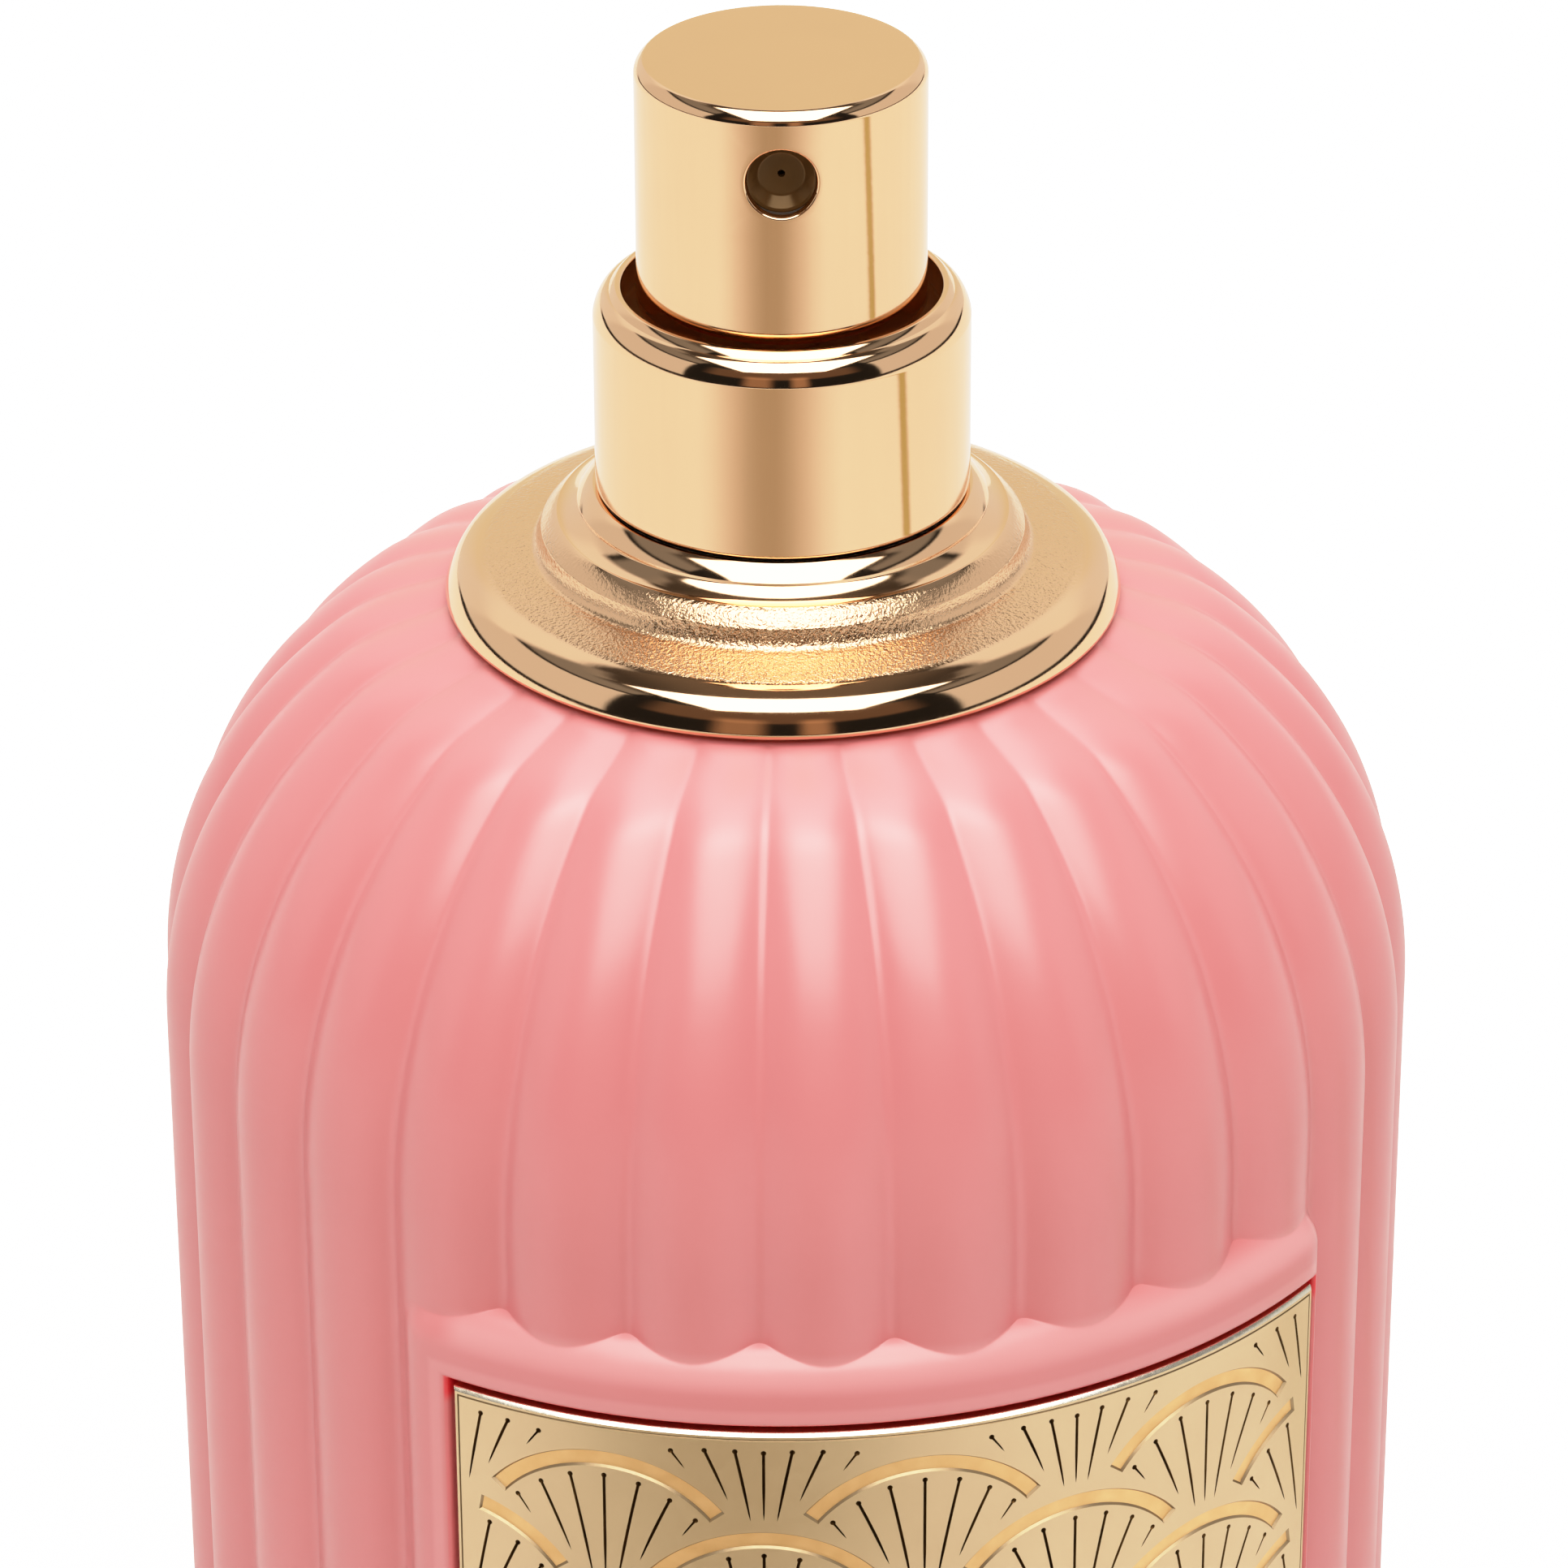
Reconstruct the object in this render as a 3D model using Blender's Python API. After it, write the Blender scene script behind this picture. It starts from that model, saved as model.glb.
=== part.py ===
"""Perfume atomiser: a domed, ribbed, lacquered glass bottle with a crimped
fine-mist pump, a gold collar and button, and a curved engraved plaque.

Metres, +Z up. The origin is the centre of the base, on the surface the bottle
stands on. The plaque faces -Y. Every turned piece shares the Z axis, which is
also the axis of the pump's stroke and of the button's swivel.
"""

import math

import bmesh
import bpy

MM = 0.001

# ---------------------------------------------------------------- dimensions
# Bottle (mm)
BODY_R = 29.05          # over the rib crests
RIBS = 30
RIB_PHASE = -2.3        # degrees from -Y to the nearest groove
RIB_DEPTH = 0.95        # groove depth on the straight wall
HEEL_R = 4.5            # rounding at the foot
WALL_TOP_Z = 58.0       # where the dome starts
DOME_H = 24.0           # height of the full dome curve
DOME_POWER = 2.12       # 2 is an ellipse, more is squarer
DOME_FLAT_R = (21.0, 15.4)  # the dome flattens between these radii
DOME_FLAT_DROP = 1.0    # by this much, to seat the shoulder ring
SEAT_Z = 77.8           # flat glass seat below the shoulder ring
INNER_R = 24.5
INNER_FLOOR_Z = 8.0
NECK_BORE_R = 4.8
NECK_R = 6.3
BEAD_R = 7.3
NECK_TOP_Z = 86.2
PUSH_UP = 1.2           # hollow under the base

# Front panel and plaque (mm, degrees either side of -Y)
PANEL_R = 29.60
PANEL_ROUND = 2.2       # edge rounding of the panel
PANEL_TOP_Z = 55.1
PANEL_BOTTOM_Z = 8.9
PANEL_SIDES = (-49.0, 45.5)
PLAQUE_R = (28.80, 29.55)
PLAQUE_HALF = 42.1
PLAQUE_Z = (13.0, 51.15)
POCKET_FLOOR_R = 28.25
POCKET_GAP = 0.25
TAPE_R = (28.40, 28.65)

# Shoulder ring (mm)
RING_R = 15.40
RING_Z = 78.0
RING_BORE_R = 8.3

# Collar (mm)
COLLAR_R = 8.5
COLLAR_WALL = 0.35
COLLAR_BASE_Z = 83.5
COLLAR_TOP_Z = 93.17
COLLAR_ROUND = 1.3

# Button (mm)
BUTTON_R = 6.52
BUTTON_WALL = 0.4
BUTTON_BASE_Z = 92.4
BUTTON_TOP_Z = 104.0
NOZZLE_Z = 100.7
NOZZLE_HOLE_R = 1.6
NOZZLE_AZIMUTH = -11.9  # degrees from -Y, as the button stands

# Pump (mm)
STROKE = 3.8
STEM_R = 1.6
STEM_TOP_Z = 97.6
PUMP_BORE_R = 3.42
PUMP_BODY_R = 4.4
FLANGE_Z = (87.1, 87.6)
SPRING_SEAT_Z = 72.5
BALL_R = 1.1
BALL_Z = 67.85
TUBE_R = (0.75, 1.25)
TUBE_Z = (9.6, 64.6)

# Facets round the axis
FINE, MID, COARSE = 40, 24, 16


# ------------------------------------------------------------------- helpers
def clear_scene():
    for obj in list(bpy.data.objects):
        bpy.data.objects.remove(obj, do_unlink=True)


def finish(name, colour, roughness, metallic=0.0):
    material = bpy.data.materials.new(name)
    material.use_nodes = True
    shader = material.node_tree.nodes["Principled BSDF"]
    shader.inputs["Base Color"].default_value = (*colour, 1.0)
    shader.inputs["Roughness"].default_value = roughness
    shader.inputs["Metallic"].default_value = metallic
    return material


def add_object(name, bm, material, at=0.0, parent=None, smooth=35.0):
    """Turns a bmesh in millimetres into a named object whose origin is on the
    Z axis at height `at` (mm)."""
    bmesh.ops.translate(bm, verts=bm.verts, vec=(0, 0, -at))
    bmesh.ops.scale(bm, verts=bm.verts, vec=(MM, MM, MM))
    bmesh.ops.recalc_face_normals(bm, faces=bm.faces)
    mesh = bpy.data.meshes.new(name)
    bm.to_mesh(mesh)
    bm.free()
    mesh.shade_smooth()
    mesh.set_sharp_from_angle(angle=math.radians(smooth))
    obj = bpy.data.objects.new(name, mesh)
    bpy.context.scene.collection.objects.link(obj)
    obj.location = (0, 0, at * MM)
    if material:
        mesh.materials.append(material)
    if parent:
        obj.parent = parent
        obj.location = (0, 0, at * MM - parent.location.z)
    return obj


def turned_bmesh(profile, steps):
    """Spins a closed (r, z) outline about Z. An outline that starts and ends
    on the axis is closed along it."""
    bm = bmesh.new()
    verts = [bm.verts.new((r, 0, z)) for r, z in profile]
    on_axis = profile[0][0] == 0 and profile[-1][0] == 0
    pairs = list(zip(verts, verts[1:])) + ([] if on_axis else [(verts[-1], verts[0])])
    edges = [bm.edges.new(pair) for pair in pairs]
    bmesh.ops.spin(
        bm,
        geom=verts + edges,
        cent=(0, 0, 0),
        axis=(0, 0, 1),
        angle=math.tau,
        steps=steps,
        use_merge=True,
        use_duplicate=False,
    )
    bmesh.ops.remove_doubles(bm, verts=bm.verts, dist=1e-5)
    return bm


def turned(name, profile, material, steps=MID, at=0.0, parent=None):
    return add_object(name, turned_bmesh(profile, steps), material, at, parent)


def arc(centre_r, centre_z, radius, start, end, count):
    """Points on an arc in the (r, z) plane; 0 degrees points outwards."""
    points = []
    for i in range(count + 1):
        a = math.radians(start + (end - start) * i / count)
        points.append((centre_r + radius * math.cos(a), centre_z + radius * math.sin(a)))
    return points


def as_helper(obj):
    obj.hide_render = True
    obj.display_type = "WIRE"
    return obj


def combine(obj, helper, operation):
    modifier = obj.modifiers.new(operation.title() + "_" + helper.name, "BOOLEAN")
    modifier.operation = operation
    modifier.solver = "EXACT"
    modifier.object = as_helper(helper)


def across_bmesh(radius, near, far, z, steps):
    """A round bar along -Y at height z, from distance `near` to `far`."""
    bm = turned_bmesh([(0, -near), (radius, -near), (radius, -far), (0, -far)], steps)
    for v in bm.verts:
        x, y, up = v.co
        v.co = (x, up, y + z)
    return bm


def skin(bm, rings, closed):
    """Quads between successive rings of vertices."""
    for low, high in zip(rings, rings[1:]):
        count = len(low)
        for i in range(count if closed else count - 1):
            j = (i + 1) % count
            bm.faces.new((low[i], low[j], high[j], high[i]))


def smoothstep(t):
    t = min(max(t, 0.0), 1.0)
    return t * t * (3 - 2 * t)


# ------------------------------------------------------------ bottle geometry
def dome_point(s):
    """(r, z) of the crest line of the dome, s from 0 at the wall upwards."""
    r = BODY_R * (1 - s**DOME_POWER) ** (1 / DOME_POWER)
    start, end = DOME_FLAT_R
    drop = DOME_FLAT_DROP * smoothstep((start - r) / (start - end))
    return r, WALL_TOP_Z + DOME_H * s - drop


def dome_s(r):
    return (1 - (r / BODY_R) ** DOME_POWER) ** (1 / DOME_POWER)


def body_rows():
    """(crest r, z, groove depth) from the foot to the seat of the ring."""
    rows = []
    for a in (0, 25, 50, 70, 90):
        a = math.radians(a)
        rows.append(
            (
                BODY_R - HEEL_R + HEEL_R * math.sin(a),
                HEEL_R - HEEL_R * math.cos(a),
                RIB_DEPTH * math.sin(a),
            )
        )
    for r in (BODY_R, 28.75, 27.9, 26.4, 24.2, 21.4, 18.4, 15.7):
        r, z = dome_point(dome_s(r))
        rows.append((r, z, RIB_DEPTH * r / BODY_R))
    rows.append((15.15, SEAT_Z, 0.15))
    rows.append((12.0, SEAT_Z, 0.0))
    return rows


def ribbed_bmesh():
    """Closed ribbed body: each rib is a convex arc, with a groove close to
    the centre of the panel."""
    bm = bmesh.new()
    per_rib = 4
    rings = []
    for r, z, depth in body_rows():
        ring = []
        for i in range(RIBS * per_rib):
            across = 2 * (i % per_rib) / per_rib - 1
            a = math.tau * i / (RIBS * per_rib) + math.radians(RIB_PHASE)
            radius = r - depth * across * across
            ring.append(bm.verts.new((radius * math.sin(a), -radius * math.cos(a), z)))
        rings.append(ring)
    skin(bm, rings, closed=True)
    bm.faces.new(rings[0])
    bm.faces.new(rings[-1])
    return bm


def panel_bmesh():
    """Smooth boss on the front whose edges roll off into the ribs."""

    def drop(inside):
        if inside >= PANEL_ROUND:
            return 0.0
        return PANEL_ROUND - math.sqrt(PANEL_ROUND**2 - (PANEL_ROUND - inside) ** 2)

    steps = (0.0, 0.12, 0.5, 1.1, PANEL_ROUND)
    per_mm = math.degrees(1 / PANEL_R)
    left, right = PANEL_SIDES
    low, high = left + PANEL_ROUND * per_mm, right - PANEL_ROUND * per_mm
    angles = [left + s * per_mm for s in steps]
    angles += [low + (high - low) * i / 24 for i in range(1, 24)]
    angles += [right - s * per_mm for s in reversed(steps)]
    levels = [PANEL_BOTTOM_Z + s for s in steps] + [PANEL_TOP_Z - s for s in reversed(steps)]
    bm = bmesh.new()
    outer, back = [], []
    for z in levels:
        rows = ([], [])
        for a in angles:
            inside = min(
                z - PANEL_BOTTOM_Z,
                PANEL_TOP_Z - z,
                (a - left) / per_mm,
                (right - a) / per_mm,
            )
            t = math.radians(a)
            for row, r in zip(rows, (PANEL_R - drop(max(inside, 0.0)), 26.4)):
                row.append(bm.verts.new((r * math.sin(t), -r * math.cos(t), z)))
        outer.append(rows[0])
        back.append(rows[1])
    skin(bm, outer, closed=False)
    skin(bm, back, closed=False)
    for row in (0, -1):
        skin(bm, [outer[row], back[row]], closed=False)
    for end in (0, -1):
        skin(bm, [[r[end] for r in outer], [r[end] for r in back]], closed=False)
    return bm


def curved_bmesh(radii, half, heights, steps):
    """A curved plate between two radii, `half` degrees either side of -Y."""
    bm = bmesh.new()
    rings = []
    for i in range(steps + 1):
        a = math.radians(-half + 2 * half * i / steps)
        ring = []
        for r, z in (
            (radii[0], heights[0]),
            (radii[1], heights[0]),
            (radii[1], heights[1]),
            (radii[0], heights[1]),
        ):
            ring.append(bm.verts.new((r * math.sin(a), -r * math.cos(a), z)))
        rings.append(ring)
    skin(bm, rings, closed=True)
    bm.faces.new(rings[0])
    bm.faces.new(rings[-1])
    return bm


def cavity_profile():
    top = [(0, NECK_TOP_Z + 2), (NECK_BORE_R, NECK_TOP_Z + 2), (NECK_BORE_R, 75.2)]
    dome = []
    for a in (76, 66, 54, 40, 26, 12, 0):
        t = math.radians(a)
        dome.append((INNER_R * math.cos(t), 55.0 + 19.0 * math.sin(t)))
    heel = arc(INNER_R - 4, INNER_FLOOR_Z + 4, 4, 0, -90, 4)
    return top + dome + heel + [(0, INNER_FLOOR_Z - 0.6)]


def neck_profile():
    return [
        (0, NECK_TOP_Z),
        (BEAD_R - 0.5, NECK_TOP_Z),
        (BEAD_R, NECK_TOP_Z - 0.6),
        (BEAD_R, 81.8),
        (NECK_R, 81.0),
        (NECK_R, SEAT_Z - 3),
        (0, SEAT_Z - 3),
    ]


def coil(name, mean_r, wire_r, low, high, turns, material, parent=None):
    """A compression spring with flattened ends, standing on the Z axis."""
    curve = bpy.data.curves.new(name, "CURVE")
    curve.dimensions = "3D"
    curve.bevel_depth = wire_r * MM
    curve.bevel_resolution = 1
    curve.use_fill_caps = True
    spline = curve.splines.new("POLY")
    per_turn = 12
    count = int(turns * per_turn)
    spline.points.add(count)
    # The pitch eases in over the first and last part-turn.
    weights = [smoothstep(min(i + 0.5, count - i - 0.5) / (0.6 * per_turn)) for i in range(count)]
    total = sum(weights)
    start, rise, climbed = low + wire_r, high - low - 2 * wire_r, 0.0
    for i in range(count + 1):
        a = math.tau * i / per_turn
        height = start + rise * climbed / total
        spline.points[i].co = (
            mean_r * math.cos(a) * MM,
            mean_r * math.sin(a) * MM,
            (height - low) * MM,
            1.0,
        )
        if i < count:
            climbed += weights[i]
    obj = bpy.data.objects.new(name, curve)
    bpy.context.scene.collection.objects.link(obj)
    obj.location = (0, 0, low * MM)
    curve.materials.append(material)
    if parent:
        obj.parent = parent
        obj.location.z -= parent.location.z
    return obj


def frame(name, height, azimuth=0.0, parent=None):
    """An empty on the Z axis that carries one moving group."""
    empty = bpy.data.objects.new(name, None)
    bpy.context.scene.collection.objects.link(empty)
    empty.empty_display_size = 0.008
    empty.location = (0, 0, height * MM)
    empty.rotation_euler = (0, 0, math.radians(azimuth))
    return empty


# ----------------------------------------------------------------- the pieces
def build_bottle(looks):
    bottle = add_object("glass_bottle", ribbed_bmesh(), looks["lacquer"])
    combine(bottle, add_object("panel_form", panel_bmesh(), None), "UNION")
    combine(bottle, turned("neck_form", neck_profile(), None, FINE), "UNION")
    combine(bottle, turned("cavity_form", cavity_profile(), None, 40), "DIFFERENCE")
    gap_deg = math.degrees(POCKET_GAP / PANEL_R)
    pocket = curved_bmesh(
        (POCKET_FLOOR_R, PANEL_R + 2),
        PLAQUE_HALF + gap_deg,
        (PLAQUE_Z[0] - POCKET_GAP, PLAQUE_Z[1] + POCKET_GAP),
        24,
    )
    combine(bottle, add_object("pocket_form", pocket, None), "DIFFERENCE")
    push_up = [(0, PUSH_UP), (6, PUSH_UP * 0.92), (12, PUSH_UP * 0.55), (18, -0.02), (18, -2), (0, -2)]
    combine(bottle, turned("push_up_form", push_up, None, 40), "DIFFERENCE")

    plaque = curved_bmesh(PLAQUE_R, PLAQUE_HALF, PLAQUE_Z, 24)
    add_object("front_plaque", plaque, looks["gold"])
    tape = curved_bmesh(TAPE_R, PLAQUE_HALF - 1.5, (PLAQUE_Z[0] + 1, PLAQUE_Z[1] - 1), 24)
    add_object("plaque_tape", tape, looks["tape"])


def build_trim(looks):
    ring = (
        [(8.5, 83.05), (8.75, 83.16), (9.05, 83.06), (9.2, 82.75), (9.3, 82.4), (9.65, 82.15), (10.25, 82.04)]
        + [(11.0, 81.32), (11.25, 80.95), (11.55, 80.76), (14.15, 80.17), (14.55, 79.966), (15.186, 79.273)]
        + [(RING_R - 0.07, 79.0), (RING_R, 78.584), (RING_R, RING_Z + 0.06)]
        + [(RING_R - 0.06, RING_Z), (13.6, RING_Z), (13.2, 78.9), (11.0, 79.5), (9.6, 79.9), (9.4, RING_Z), (RING_BORE_R, RING_Z)]
        + [(RING_BORE_R, 82.9)]
    )
    turned("shoulder_ring", ring, looks["gold"], FINE, at=RING_Z)

    inner = COLLAR_R - COLLAR_ROUND
    centre_z = COLLAR_TOP_Z - COLLAR_ROUND
    wall = COLLAR_WALL
    shell = (
        [(inner, 92.4), (inner, COLLAR_TOP_Z - 0.1)]
        + arc(inner, centre_z, COLLAR_ROUND, 86, 0, 5)
        + [(COLLAR_R, COLLAR_BASE_Z), (COLLAR_R - wall, COLLAR_BASE_Z)]
        + arc(inner, centre_z, COLLAR_ROUND - wall, 0, 60, 3)
        + [(inner + 0.3, 92.4)]
    )
    turned("collar_shell", shell, looks["gold"], FINE, at=COLLAR_BASE_Z)
    liner = [(8.05, 91.8), (8.05, 83.7), (7.72, 83.7), (7.72, 91.4), (7.35, 91.4), (7.35, 91.8)]
    turned("collar_liner", liner, looks["white"], FINE, at=83.7)


def build_pump(looks):
    ferrule = [
        (4.2, 88.4),
        (7.45, 88.4),
        (7.62, 88.2),
        (7.62, 81.25),
        (7.35, 80.8),
        (6.75, 80.55),
        (6.75, 80.85),
        (7.2, 81.15),
        (7.38, 81.4),
        (7.38, 88.1),
        (4.2, 88.1),
    ]
    turned("crimp_ferrule", ferrule, looks["tin"], FINE, at=80.55)
    gasket = [(7.1, 86.95), (7.1, 86.35), (4.9, 86.35), (4.9, 86.95)]
    turned("neck_gasket", gasket, looks["rubber"], MID, at=86.35)

    low, high = FLANGE_Z
    housing = [
        (PUMP_BORE_R, high),
        (7.2, high),
        (7.2, low),
        (PUMP_BODY_R, low),
        (PUMP_BODY_R, 71.5),
        (3.2, 70.2),
        (2.9, 64.9),
        (2.3, 63.5),
        (2.1, 58.5),
        (1.35, 58.5),
        (1.35, 64.8),
        (0.75, 64.8),
        (0.75, 66.9),
        (1.5, 68.0),
        (1.5, 69.3),
        (0.95, 69.5),
        (0.95, 70.1),
        (1.5, 70.7),
        (1.6, SPRING_SEAT_Z),
        (PUMP_BORE_R, SPRING_SEAT_Z),
    ]
    turned("pump_housing", housing, looks["natural"], MID, at=low)
    turret = [
        (1.75, 89.6),
        (3.5, 89.6),
        (3.9, 89.2),
        (3.9, 88.0),
        (7.1, 88.0),
        (7.1, 87.72),
        (3.3, 87.72),
        (3.3, 87.05),
        (1.75, 87.05),
    ]
    turned("turret", turret, looks["natural"], MID, at=87.7)
    stem_gasket = [(3.2, 86.9), (3.2, 86.1), (1.66, 86.1), (1.66, 86.9)]
    turned("stem_gasket", stem_gasket, looks["rubber"], COARSE, at=86.1)
    tube = [(TUBE_R[1], TUBE_Z[1]), (TUBE_R[1], TUBE_Z[0]), (TUBE_R[0], TUBE_Z[0]), (TUBE_R[0], TUBE_Z[1])]
    turned("dip_tube", tube, looks["natural"], 16, at=TUBE_Z[0])
    ball = arc(0, BALL_Z, BALL_R, 90, -90, 8)
    ball = [(0, ball[0][1])] + ball[1:-1] + [(0, ball[-1][1])]
    turned("inlet_ball", ball, looks["steel"], 16, at=BALL_Z)
    coil("return_spring", 2.5, 0.2, SPRING_SEAT_Z + 0.15, 78.65, 5, looks["steel"])


def build_stem(looks, slide):
    stem = [
        (0.7, STEM_TOP_Z),
        (STEM_R - 0.2, STEM_TOP_Z),
        (STEM_R, STEM_TOP_Z - 0.25),
        (STEM_R, 85.9),
        (2.7, 85.9),
        (2.7, 85.2),
        (STEM_R, 85.2),
        (STEM_R, 80.6),
        (0.7, 80.6),
    ]
    piece = turned("stem", stem, looks["white"], COARSE, at=STEM_TOP_Z, parent=slide)
    ports = as_helper(add_object("port_form", across_bmesh(0.3, -3, 3, 81.9, 8), None))
    combine(piece, ports, "DIFFERENCE")
    pin = [(0, 81.2), (0.6, 81.2), (0.6, 80.3), (2.7, 80.3), (2.9, 80.1), (2.9, 78.8), (1.9, 78.8), (1.7, 78.2), (0, 78.2)]
    turned("valve_pin", pin, looks["white"], COARSE, at=78.2, parent=slide)
    piston = [
        (1.68, 82.4),
        (2.85, 82.4),
        (3.1, 83.2),
        (3.3, 83.1),
        (3.05, 82.1),
        (3.05, 81.4),
        (3.3, 80.6),
        (3.1, 80.5),
        (2.7, 81.1),
        (2.2, 80.5),
        (1.68, 80.5),
    ]
    turned("piston", piston, looks["natural"], MID, at=80.5, parent=slide)
    coil("precompression_spring", 2.3, 0.17, 82.5, 85.1, 3.5, looks["steel"], parent=slide)


def build_button(looks, swivel):
    r, wall, top = BUTTON_R, BUTTON_WALL, BUTTON_TOP_Z
    edge = 0.55
    shell = (
        [(0, top), (r - edge, top)]
        + arc(r - edge, top - edge, edge, 68, 0, 3)
        + [(r, BUTTON_BASE_Z), (r - wall, BUTTON_BASE_Z), (r - wall, top - wall - 0.15), (r - wall - 0.15, top - wall), (0, top - wall)]
    )
    piece = turned("button_shell", shell, looks["gold"], FINE, at=BUTTON_BASE_Z, parent=swivel)
    opening = add_object("opening_form", across_bmesh(NOZZLE_HOLE_R, 4.4, 8, NOZZLE_Z, 24), None, parent=swivel)
    combine(piece, opening, "DIFFERENCE")

    core = [
        (0, 103.3),
        (5.75, 103.3),
        (5.98, 103.05),
        (5.98, 92.6),
        (5.3, 92.6),
        (5.3, 97.5),
        (3.0, 97.5),
        (3.0, 93.9),
        (1.68, 93.9),
        (1.68, 97.8),
        (0.8, 97.8),
        (0.8, 101.0),
        (0, 101.0),
    ]
    piece = turned("button_core", core, looks["white"], MID, at=92.6, parent=swivel)
    pocket = add_object("pocket_bar_form", across_bmesh(2.0, 2.6, 8, NOZZLE_Z, 24), None, parent=swivel)
    combine(piece, pocket, "DIFFERENCE")
    feed = add_object("feed_form", across_bmesh(0.45, 0.2, 3.4, NOZZLE_Z, 10), None, parent=swivel)
    combine(piece, feed, "DIFFERENCE")

    # Outline of the nozzle along its own axis: r, then distance from the button's axis.
    nozzle = [
        (0.15, 5.25),
        (1.0, 5.35),
        (1.45, 5.75),
        (1.6, 5.8),
        (1.9, 5.5),
        (1.9, 2.75),
        (1.3, 2.75),
        (1.3, 4.3),
        (0.15, 4.5),
    ]
    bm = turned_bmesh(nozzle, COARSE)
    for v in bm.verts:
        x, y, out = v.co
        v.co = (x, -out, y + NOZZLE_Z)
    add_object("nozzle_insert", bm, looks["dark"], at=NOZZLE_Z, parent=swivel)


def main():
    clear_scene()
    looks = {
        "lacquer": finish("pink_lacquered_glass", (0.78, 0.30, 0.29), 0.28),
        "gold": finish("gold_anodised", (0.79, 0.53, 0.24), 0.2, 1.0),
        "tape": finish("adhesive_tape", (0.85, 0.83, 0.78), 0.7),
        "white": finish("white_polypropylene", (0.85, 0.85, 0.83), 0.45),
        "natural": finish("natural_polyethylene", (0.80, 0.81, 0.80), 0.4),
        "tin": finish("aluminium", (0.75, 0.75, 0.76), 0.35, 1.0),
        "rubber": finish("nitrile_rubber", (0.06, 0.06, 0.06), 0.75),
        "steel": finish("spring_steel", (0.55, 0.55, 0.56), 0.3, 1.0),
        "dark": finish("nozzle_polyacetal", (0.11, 0.07, 0.03), 0.4),
    }
    slide = frame("stem_slide", STEM_TOP_Z)
    swivel = frame("button_swivel", BUTTON_BASE_Z, NOZZLE_AZIMUTH)
    build_bottle(looks)
    build_trim(looks)
    build_pump(looks)
    build_stem(looks, slide)
    build_button(looks, swivel)


main()
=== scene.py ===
"""Looks of the perfume atomiser: a ribbed, domed bottle in satin pink lacquer, a
gold collar, button and shoulder ring, and a curved, etched metal plaque.

Lengths in the tables below are millimetres; angles are degrees either side of
-Y, which is the way the plaque faces. Every turned piece shares the Z axis.
"""

import math

import bpy
import numpy as np
from mathutils import Euler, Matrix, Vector
from mathutils.geometry import delaunay_2d_cdt


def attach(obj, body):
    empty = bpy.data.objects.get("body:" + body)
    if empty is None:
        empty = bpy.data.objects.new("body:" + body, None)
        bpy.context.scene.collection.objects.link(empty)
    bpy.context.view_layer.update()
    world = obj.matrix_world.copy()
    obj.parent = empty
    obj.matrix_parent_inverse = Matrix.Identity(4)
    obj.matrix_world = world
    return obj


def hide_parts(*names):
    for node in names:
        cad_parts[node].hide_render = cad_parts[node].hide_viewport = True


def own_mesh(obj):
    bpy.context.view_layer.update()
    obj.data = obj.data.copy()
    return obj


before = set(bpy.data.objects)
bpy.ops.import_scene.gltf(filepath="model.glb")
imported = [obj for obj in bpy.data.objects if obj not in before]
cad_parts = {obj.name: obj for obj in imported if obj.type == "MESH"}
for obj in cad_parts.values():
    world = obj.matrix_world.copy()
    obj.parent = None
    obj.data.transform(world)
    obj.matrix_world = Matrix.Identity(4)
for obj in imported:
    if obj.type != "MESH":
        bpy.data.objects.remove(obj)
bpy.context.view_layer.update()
MM = 0.001

# ------------------------------------------------------------------ dimensions
BODY_R = 29.04
RIBS = 30
RIB_PHASE = -2.3           # degrees to the groove nearest to -Y
RIB_DEPTH = 0.95
HEEL_R = 4.5
WALL_TOP_Z = 58.0
DOME_H = 24.0
DOME_POWER = 2.12
DOME_FLAT_R = (21.0, 15.4)
DOME_FLAT_DROP = 1.0
SEAT_Z = 77.8
PUSH_UP = 1.2
GROOVE_FILLET = 0.13       # share of half a rib that the groove's fillet takes

PANEL_R = 29.57
PANEL_ROUND = 2.2
PANEL_Z = (8.9, 55.1)
PANEL_SIDES = (-49.0, 45.5)
POCKET_FLOOR_R = 28.25
POCKET_GAP = 0.25
POCKET_LIP = 0.42
PLAQUE_R = (28.80, 29.55)
PLAQUE_HALF = 42.1
PLAQUE_Z = (13.0, 51.15)

BUTTON_R = 6.52
BUTTON_TOP = 104.0
NOZZLE_Z = 100.7
NOZZLE_AZIMUTH = -11.9

CAMERA_AZIMUTH = -11.9
CAMERA_PITCH = 28.05
CAMERA_DISTANCE = 301.73   # horizontal, from the axis
CAMERA_Z = 228.52


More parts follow.
